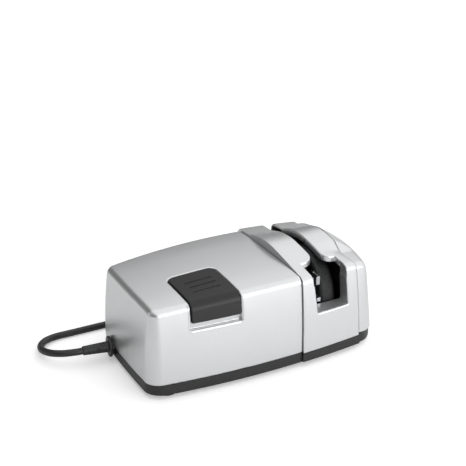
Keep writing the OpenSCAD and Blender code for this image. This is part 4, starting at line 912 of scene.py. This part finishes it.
# Satin silver paint on smooth ABS: aluminium flakes too fine to tell apart give a soft, slightly
# grainy mirror, so the light runs off in wide bands. The flake is drawn at 0.5 mm to show, and the
# sprayed film is uneven every 30 mm
silver = blank("sprayed_silver_paint")
place = add(silver, "ShaderNodeTexCoord")
flake = add(silver, "ShaderNodeTexNoise", {"Scale": 1000 / 0.5, "Detail": 2.0},
            {"Vector": (place, "Object")})
cloud = add(silver, "ShaderNodeTexNoise", {"Scale": 1000 / 30.0, "Detail": 2.0},
            {"Vector": (place, "Object")})
tone = add(silver, "ShaderNodeMix", {"A": colour("#cfd0d1"), "B": colour("#dcddde")},
           {"Factor": (flake, "Fac")}, data_type="RGBA")
gloss = add(silver, "ShaderNodeMapRange", {"To Min": 0.33, "To Max": 0.38}, {"Value": (cloud, "Fac")})
grain = add(silver, "ShaderNodeBump", {"Strength": 0.05, "Distance": 0.02 / 1000},
            {"Height": (flake, "Fac")})
body = add(silver, "ShaderNodeBsdfPrincipled", {"Metallic": 0.85},
           {"Base Color": (tone, "Result"), "Roughness": (gloss, "Result"), "Normal": (grain, "Normal")})
add(silver, "ShaderNodeOutputMaterial", links={"Surface": (body, "BSDF")})

low, high = (-half_l, -half_d, split_z), (head_lo, half_d, top_z)
housing = shell_mesh("housing_shell", housing_field, low, high, step=0.9)

# Inside the opening stand the walls round the button, the step under its front and the ears for
# its pin; a fine bead frames the opening on the front.
# Its walls are recess_t thick and stay recess_under below the outside
recess_t, recess_under = 1.6, 0.9
rim_low, cheek_y, fence_in, button_low = 9.0, -44.0, 7.4, 63.3
pivot_y, pivot_z, pivot_bore = -10.0, 75.384, 3.1
ear_r, ear_t = 4.5, 3.0
# The bead runs beside the opening's edge, and from a little under the surface to over it
bead_in, bead_out, bead_under, bead_over = 1.1, 2.3, -0.55, 0.35
bead_back, bead_top = -50.0, 78.6


def recess_field(x, y, z):
    """The walls, the ears, the step with a fence along its front, and the bead, as one field."""
    form = body_form(x, y, z)
    half = button_w / 2 + button_gap
    beside = np.abs(x - button_x)
    low = room_z - recess_t
    pivot = np.hypot(y - pivot_y, z - pivot_z)
    rim = np.maximum(opening(x, y, button_gap + recess_t), pivot_z - rim_low - z)
    cheeks = np.maximum(between(beside, half, half + recess_t), np.maximum(y - cheek_y, low - z))
    ears = np.maximum(pivot - ear_r, between(beside, half + recess_t, half + recess_t + ear_t))
    hole = np.maximum(opening(x, y, button_gap), room_z - z)
    around = np.maximum(np.minimum(np.minimum(rim, cheeks), ears), -hole)
    inset = y + half_d - side_bow * (x / half_l) ** 2 - fence_in
    ledge = np.maximum(inset, between(z, low, room_z))
    fence = np.maximum(between(inset, -recess_t, 0), between(z, low, button_low - button_gap))
    step = np.maximum(round_min(ledge, fence, r=0.3), beside - half - recess_t / 2)
    bore = np.maximum(pivot - pivot_bore / 2, beside - button_w)
    inner = np.maximum(np.maximum(np.minimum(around, step), form + recess_under), -bore)
    edge = round_max(beside - half, room_z - z, r=2.0)
    bead = round_max(between(edge, bead_in, bead_out), between(form, bead_under, bead_over), r=0.3)
    bead = np.maximum(bead, np.maximum(y - bead_back, z - bead_top))
    return np.minimum(inner, bead)


recess = shell_mesh("button_recess", recess_field, (-75.6, -61, 55), (-26.4, -3, 81), step=0.5)
for piece in (housing, recess):
    piece.data.materials.append(silver)
    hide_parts("housing")
    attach(piece, "appliance")


# Head cover
# The raised band over the grinding head, moulded in the same silver painted ABS. It arches up to
# the knife slot, falls away to the right, and frames the window with a pocket behind it.
# The band's right end at the table, how far it hangs below the rim, and how far it stands out
head_hi, head_skirt, band_out = 87.75, 0.7, 1.7
# The arch is highest at arch_y, meets the body's top at arch_end, and climbs to the right
arch_z, arch_y, arch_end, arch_bend = 89.6, 3.0, 36.0, 11.0
arch_climb, arch_fall = 0.055, 0.19
# In front of sink_end it sinks within sink_long to the right of the slot
sink_end, sink_run, sink_long = -28.0, 13.0, 23.0
slot_x, slot_w, slot_low, slot_over = 56.3, 8.8, 72.1, 9.0
# The window and the pocket behind it, and the radii where the slot runs into the window
window_z, window_top, pocket_y, pocket_t, pocket_under = 46.5, -36.0, -43.55, 1.8, 0.5
window_left, window_right, window_lean = 41.9, 73.1, 4.0
mouth_left, mouth_right = 11.0, 8.5
# The slot is lined lining_t wide between two depths under the surface
lining_t, lining_lo, lining_hi, lining_past = 2.4, -6.3, -0.3, 0.5
# The seam to the end cap leans to the left, and the band stops seam_left short of it
seam_slope, seam_left = 0.75 / split_z, 0.2


def arch(x, y):
    """Top of the band, level with the body's top behind the arch and falling slowly to the front."""
    crest = arch_z - band_out + arch_climb * np.maximum(0, x - slot_x)
    front = crest - arch_fall * (np.hypot(arch_y - y, arch_bend) - arch_bend)
    back = crest - (crest - body_top(x, arch_end)) * ((y - arch_y) / (arch_end - arch_y)) ** 2
    return np.where(y < arch_y, front, np.where(y < arch_end, back, body_top(x, y)))


def front_rise(y):
    """The share of the arch's height at its right: none at the front and all of it behind."""
    return smooth_step((y - sink_end) / sink_run)


def head_top(x, y):
    """The arch, with its right front sunk to the level of the body's top."""
    sunk = np.clip((x - slot_x - slot_w / 2) / sink_long, 0, 1) * (1 - front_rise(y))
    line = arch(x, y)
    return line + sunk * (body_top(x, y) - line) + band_out


def right_seam(z):
    """Where the head cover ends at a height; the seam leans to the left."""
    return head_hi - seam_slope * z


def head_form(x, y, z):
    """The whole body moved out to the band's outside and up to its top."""
    top = head_top(x, y)
    return round_max(walls(x, y, band_out) + leaning(z, top), z - top, shoulder_r)


def window(x, y, z, out, back):
    """The window moved out by out, as deep as back; its left edge leans out towards the top."""
    left = window_left - out - window_lean * (z - window_z) / (top_z - window_z) - x
    right = x - window_right - out + seam_slope * (z - window_z)
    return np.maximum(round_max(np.maximum(left, right), window_z - out - z, r=1.2), y - back)


def mouth(x, y, z):
    """The slot in plan, run together with the window's top edge in two wide curves."""
    over = np.maximum(window(x, y, z, 0, math.inf), y - window_top)
    slot = np.maximum(np.abs(x - slot_x) - slot_w / 2, window_top - slot_over - y)
    return round_min(over, slot, np.where(x < slot_x, mouth_left, mouth_right))


def head_field(x, y, z):
    """The band as a shell, with the pocket's walls behind the window and a lining along the slot."""
    form = head_form(x, y, z)
    body = body_form(x, y, z)
    ends = np.maximum(head_lo - x, x - right_seam(z))
    room = np.maximum(form + wall_t, ends + wall_t)
    shell = np.maximum(np.maximum(form, ends), -np.minimum(room, body + wall_t))
    pocket = np.maximum(window(x, y, z, pocket_t, pocket_y), form + pocket_under)
    gap = mouth(x, y, z)
    lining = np.maximum(np.maximum(gap - lining_t, y - arch_end), between(form, lining_lo, lining_hi))
    lining = np.maximum(lining, pocket_y - lining_past - y)
    whole = np.minimum(np.minimum(shell, pocket), lining)
    whole = round_max(whole, -window(x, y, z, 0, pocket_y), r=1.3)
    whole = round_max(whole, -np.maximum(gap, slot_low - z), r=1.7)
    whole = round_max(whole, head_lo - x, r=0.8)
    whole = round_max(whole, x - right_seam(z) + seam_left, r=1.7)
    return round_max(whole, split_z - head_skirt - z, r=0.5)


head = shell_mesh("head_cover_shell", head_field, (27.2, -63, 12.7), (87.5, 63, 91.5), step=0.65)
head.data.materials.append(silver)
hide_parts("head_cover")
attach(head, "appliance")


# End cap
# The closed right end of the upper shell, moulded and painted like the housing. Its top takes
# over the band's arch at the seam and runs down to a broadly rounded end. A lip inside laps the
# seam, so that no light comes through it.
# The radius over the end, and how far the end wall leans in, more so towards its corners
end_r, end_r_share, end_lean, end_turn, lean_power = 10.5, 0.97, 3.0, 3.8, 8
# The arch runs out over hump_l from hump_lo
hump_lo, hump_l, hump_soft, hump_share = 83.25, 16.0, 0.2, 1.15
# The lip lies lip_in inside the surface and reaches lip_l to both sides of the cap's edge
seam_right = 0.6
lip_in, lip_t, lip_l, lip_join = 2.5, 1.0, 3.5, 0.2


def end_form(x, y, z):
    """The body's right end, leaned in towards the top, with the arch running out over it."""
    level = body_top(x, y)
    left = 1 - (x - hump_lo) / hump_l
    height = arch(hump_lo, y) - body_top(hump_lo, y)
    hump = front_rise(y) * height * (left + np.sqrt(left ** 2 + hump_soft ** 2)) / 2
    edge = half_l - end_lean - (head_bow + end_lean * end_turn / 2) * (y / half_d) ** 2
    rim = np.clip(x - edge + end_r, 0, end_r_share * end_r)
    top = level + hump_share * hump - end_r + np.sqrt(end_r ** 2 - rim ** 2)
    rise = np.clip((z - split_z) / (level - split_z), 0, 1.2)
    moved = x + (x / half_l) ** lean_power * rise * end_lean * (1 + end_turn * (y / half_d) ** 2)
    return round_max(walls(moved, y, 0) + leaning(z, level), z - top, shoulder_r)


def end_field(x, y, z):
    """The body's end as a shell, from the seam on, with a lip that reaches back past the seam."""
    form = end_form(x, y, z)
    beyond = x - right_seam(z) - seam_right
    whole = round_max(np.maximum(form, -(form + wall_t)), -beyond, r=1.5)
    under = np.where(beyond > 0, lip_in - lip_join, lip_in)
    lip = np.maximum(np.maximum(form + under, -(form + lip_in + lip_t)), np.abs(beyond) - lip_l)
    return round_max(np.minimum(whole, lip), split_z - z, r=0.5)


end_cap = shell_mesh("end_cap_shell", end_field, (82, -60, 13.5), (110, 60, 92), step=0.8)
end_cap.data.materials.append(silver)
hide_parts("end_cap")
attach(end_cap, "appliance")


# Button
# The press bar that starts the motor, moulded in dark grey ABS with a fine matt texture. It is
# folded over the front edge of the housing, turns on a steel pin at its back and has three
# finger grooves. A post under it presses the switch, and a boss holds the spring.
# The bar stands button_out above the body, is button_t thick and has a fold of its own
button_out, button_t, button_fold = 0.6, 2.2, 6.5
groove_ys, groove_half, groove_r, groove_deep = (-21.0, -29.0, -37.0), 11.2, 0.8, 0.8
lug_in, lug_out, lug_r = 17.0, 21.0, 3.6
post_y, post_r, post_z = -37.0, 1.7, 70.85
boss_y, boss_r, boss_z = -45.0, 3.7, 75.0
# These inner parts stay inside the bar's outline, under its skin and above its lower edge
inner_in, inner_under, inner_up = 0.2, 0.5, 4.0


def button_field(x, y, z):
    """A folded sheet with lugs, post and boss under it, three grooves and the bore for the pin."""
    form = body_form(x, y, z, button_out, button_fold)
    plan = opening(x, y, 0)
    skin = np.maximum(round_max(plan, form, r=0.8), -(form + button_t))
    beside = np.abs(x - button_x)
    pivot = np.hypot(y - pivot_y, z - pivot_z)
    lugs = np.maximum(between(beside, lug_in, lug_out), np.abs(y - pivot_y) - lug_r)
    lugs = np.maximum(lugs, np.minimum(pivot_z - z, pivot - lug_r))
    post = np.maximum(np.hypot(x - button_x, y - post_y) - post_r, post_z - z)
    boss = np.maximum(np.hypot(x - button_x, y - boss_y) - boss_r, boss_z - z)
    inner = np.minimum(np.minimum(lugs, post), boss)
    inner = np.maximum(inner, np.maximum(plan + inner_in, form + inner_under))
    low = button_low + inner_up * (inner < skin)
    whole = round_max(np.minimum(skin, inner), low - z, r=0.6)
    for at in groove_ys:
        line = np.hypot(np.maximum(beside - groove_half, 0), y - at) - groove_r
        whole = round_max(whole, -np.maximum(line, -(form + groove_deep)), r=0.3)
    return np.maximum(whole, pivot_bore / 2 - pivot)


button = shell_mesh("press_button", button_field, (-72, -61, 63), (-30, -5.4, 83.8), step=0.6)

# Matt ABS: a spark-eroded grain of about 0.2 mm, drawn at 0.4 mm, spreads the light evenly
button_abs = blank("moulded_grey_abs")
place = add(button_abs, "ShaderNodeTexCoord")
grit = add(button_abs, "ShaderNodeTexNoise", {"Scale": 1000 / 0.4, "Detail": 3.0},
           {"Vector": (place, "Object")})
tone = add(button_abs, "ShaderNodeMix", {"A": colour("#131314"), "B": colour("#1b1b1d")},
           {"Factor": (grit, "Fac")}, data_type="RGBA")
grain = add(button_abs, "ShaderNodeBump", {"Strength": 0.3, "Distance": 0.04 / 1000},
            {"Height": (grit, "Fac")})
body = add(button_abs, "ShaderNodeBsdfPrincipled", {"IOR": 1.46, "Roughness": 0.46},
           {"Base Color": (tone, "Result"), "Normal": (grain, "Normal")})
add(button_abs, "ShaderNodeOutputMaterial", links={"Surface": (body, "BSDF")})
button.data.materials.append(button_abs)
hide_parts("button")
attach(button, "press_bar")


# Studio
# A white table in a white room. The light is one very large soft source overhead and to the
# front right; the room falls off towards the back left, which the silver paint shows as wide
# soft bands. A softbox in front and a weak one at the left light the low parts of the sides.
table_half = 4.0
corners = [(table_half * i, table_half * j, 0) for i, j in ((-1, -1), (1, -1), (1, 1), (-1, 1))]
table = bpy.data.meshes.new("table")
table.from_pydata(corners, [], [(0, 1, 2, 3)])
floor = bpy.data.objects.new("table", table)
bpy.context.scene.collection.objects.link(floor)

mirrored_share = 0.1


def seen_share(owner):
    """All of what the camera sees straight, and a tenth of what it sees in a shiny surface."""
    rays = add(owner, "ShaderNodeLightPath")
    clear = add(owner, "ShaderNodeMath", operation="MAXIMUM",
                links={0: (rays, "Is Camera Ray"), 1: (rays, "Is Transmission Ray")})
    return add(owner, "ShaderNodeMath", {1: mirrored_share},
               {0: (rays, "Is Glossy Ray"), 2: (clear, "Value")}, operation="MULTIPLY_ADD")


# White card: matt, and seen by the camera as full white wherever no shadow falls on it
card_glow = 0.35
card = blank("white_card")
lift = add(card, "ShaderNodeMath", {1: card_glow}, {0: (seen_share(card), "Value")}, operation="MULTIPLY")
glow = add(card, "ShaderNodeEmission", links={"Strength": (lift, "Value")})
paper = add(card, "ShaderNodeBsdfDiffuse", {"Color": colour("#eeeeee")})
both = add(card, "ShaderNodeAddShader", links={0: (paper, "BSDF"), 1: (glow, "Emission")})
add(card, "ShaderNodeOutputMaterial", links={"Surface": (both, "Shader")})
table.materials.append(card)


def softbox(name, at, to, size, power):
    """A flat lamp, turned to a place; sizes and places are in metres."""
    light = bpy.data.lights.new(name, "AREA")
    light.shape = "RECTANGLE"
    light.size, light.size_y = size
    light.energy = power
    box = bpy.data.objects.new(name, light)
    box.location = at
    box.rotation_euler = (Vector(to) - Vector(at)).to_track_quat("-Z", "Y").to_euler()
    bpy.context.scene.collection.objects.link(box)


softbox("front_softbox", at=(0.5, -1.5, 0.3), to=(0, 0, 0.06), size=(1.8, 0.7), power=14)
softbox("left_softbox", at=(-1.4, 0.5, 0.5), to=(-0.15, 0.05, 0), size=(1.0, 0.6), power=1.5)

# The white room lights the pieces from one side only, and the camera sees it as plain white
room = bpy.data.worlds.new("white_room")
room.use_nodes = True
room.node_tree.nodes.clear()
way = add(room, "ShaderNodeTexCoord")
facing = add(room, "ShaderNodeVectorMath", {1: (0.45, -0.19, 0.89)}, {0: (way, "Generated")},
             operation="DOT_PRODUCT")
glow = add(room, "ShaderNodeMapRange", {"From Min": 0.35, "From Max": 0.48, "To Min": 0.0, "To Max": 1.5},
           {"Value": (facing, "Value")}, interpolation_type="SMOOTHSTEP")
walls_lit = add(room, "ShaderNodeBackground", links={"Strength": (glow, "Result")})
white = add(room, "ShaderNodeBackground", {"Color": colour("#ffffff")})
shown = add(room, "ShaderNodeMixShader", links={
    0: (seen_share(room), "Value"), 1: (walls_lit, "Background"), 2: (white, "Background")})
add(room, "ShaderNodeOutputWorld", links={"Surface": (shown, "Shader")})
bpy.context.scene.world = room
bpy.context.scene.view_settings.view_transform = "Standard"
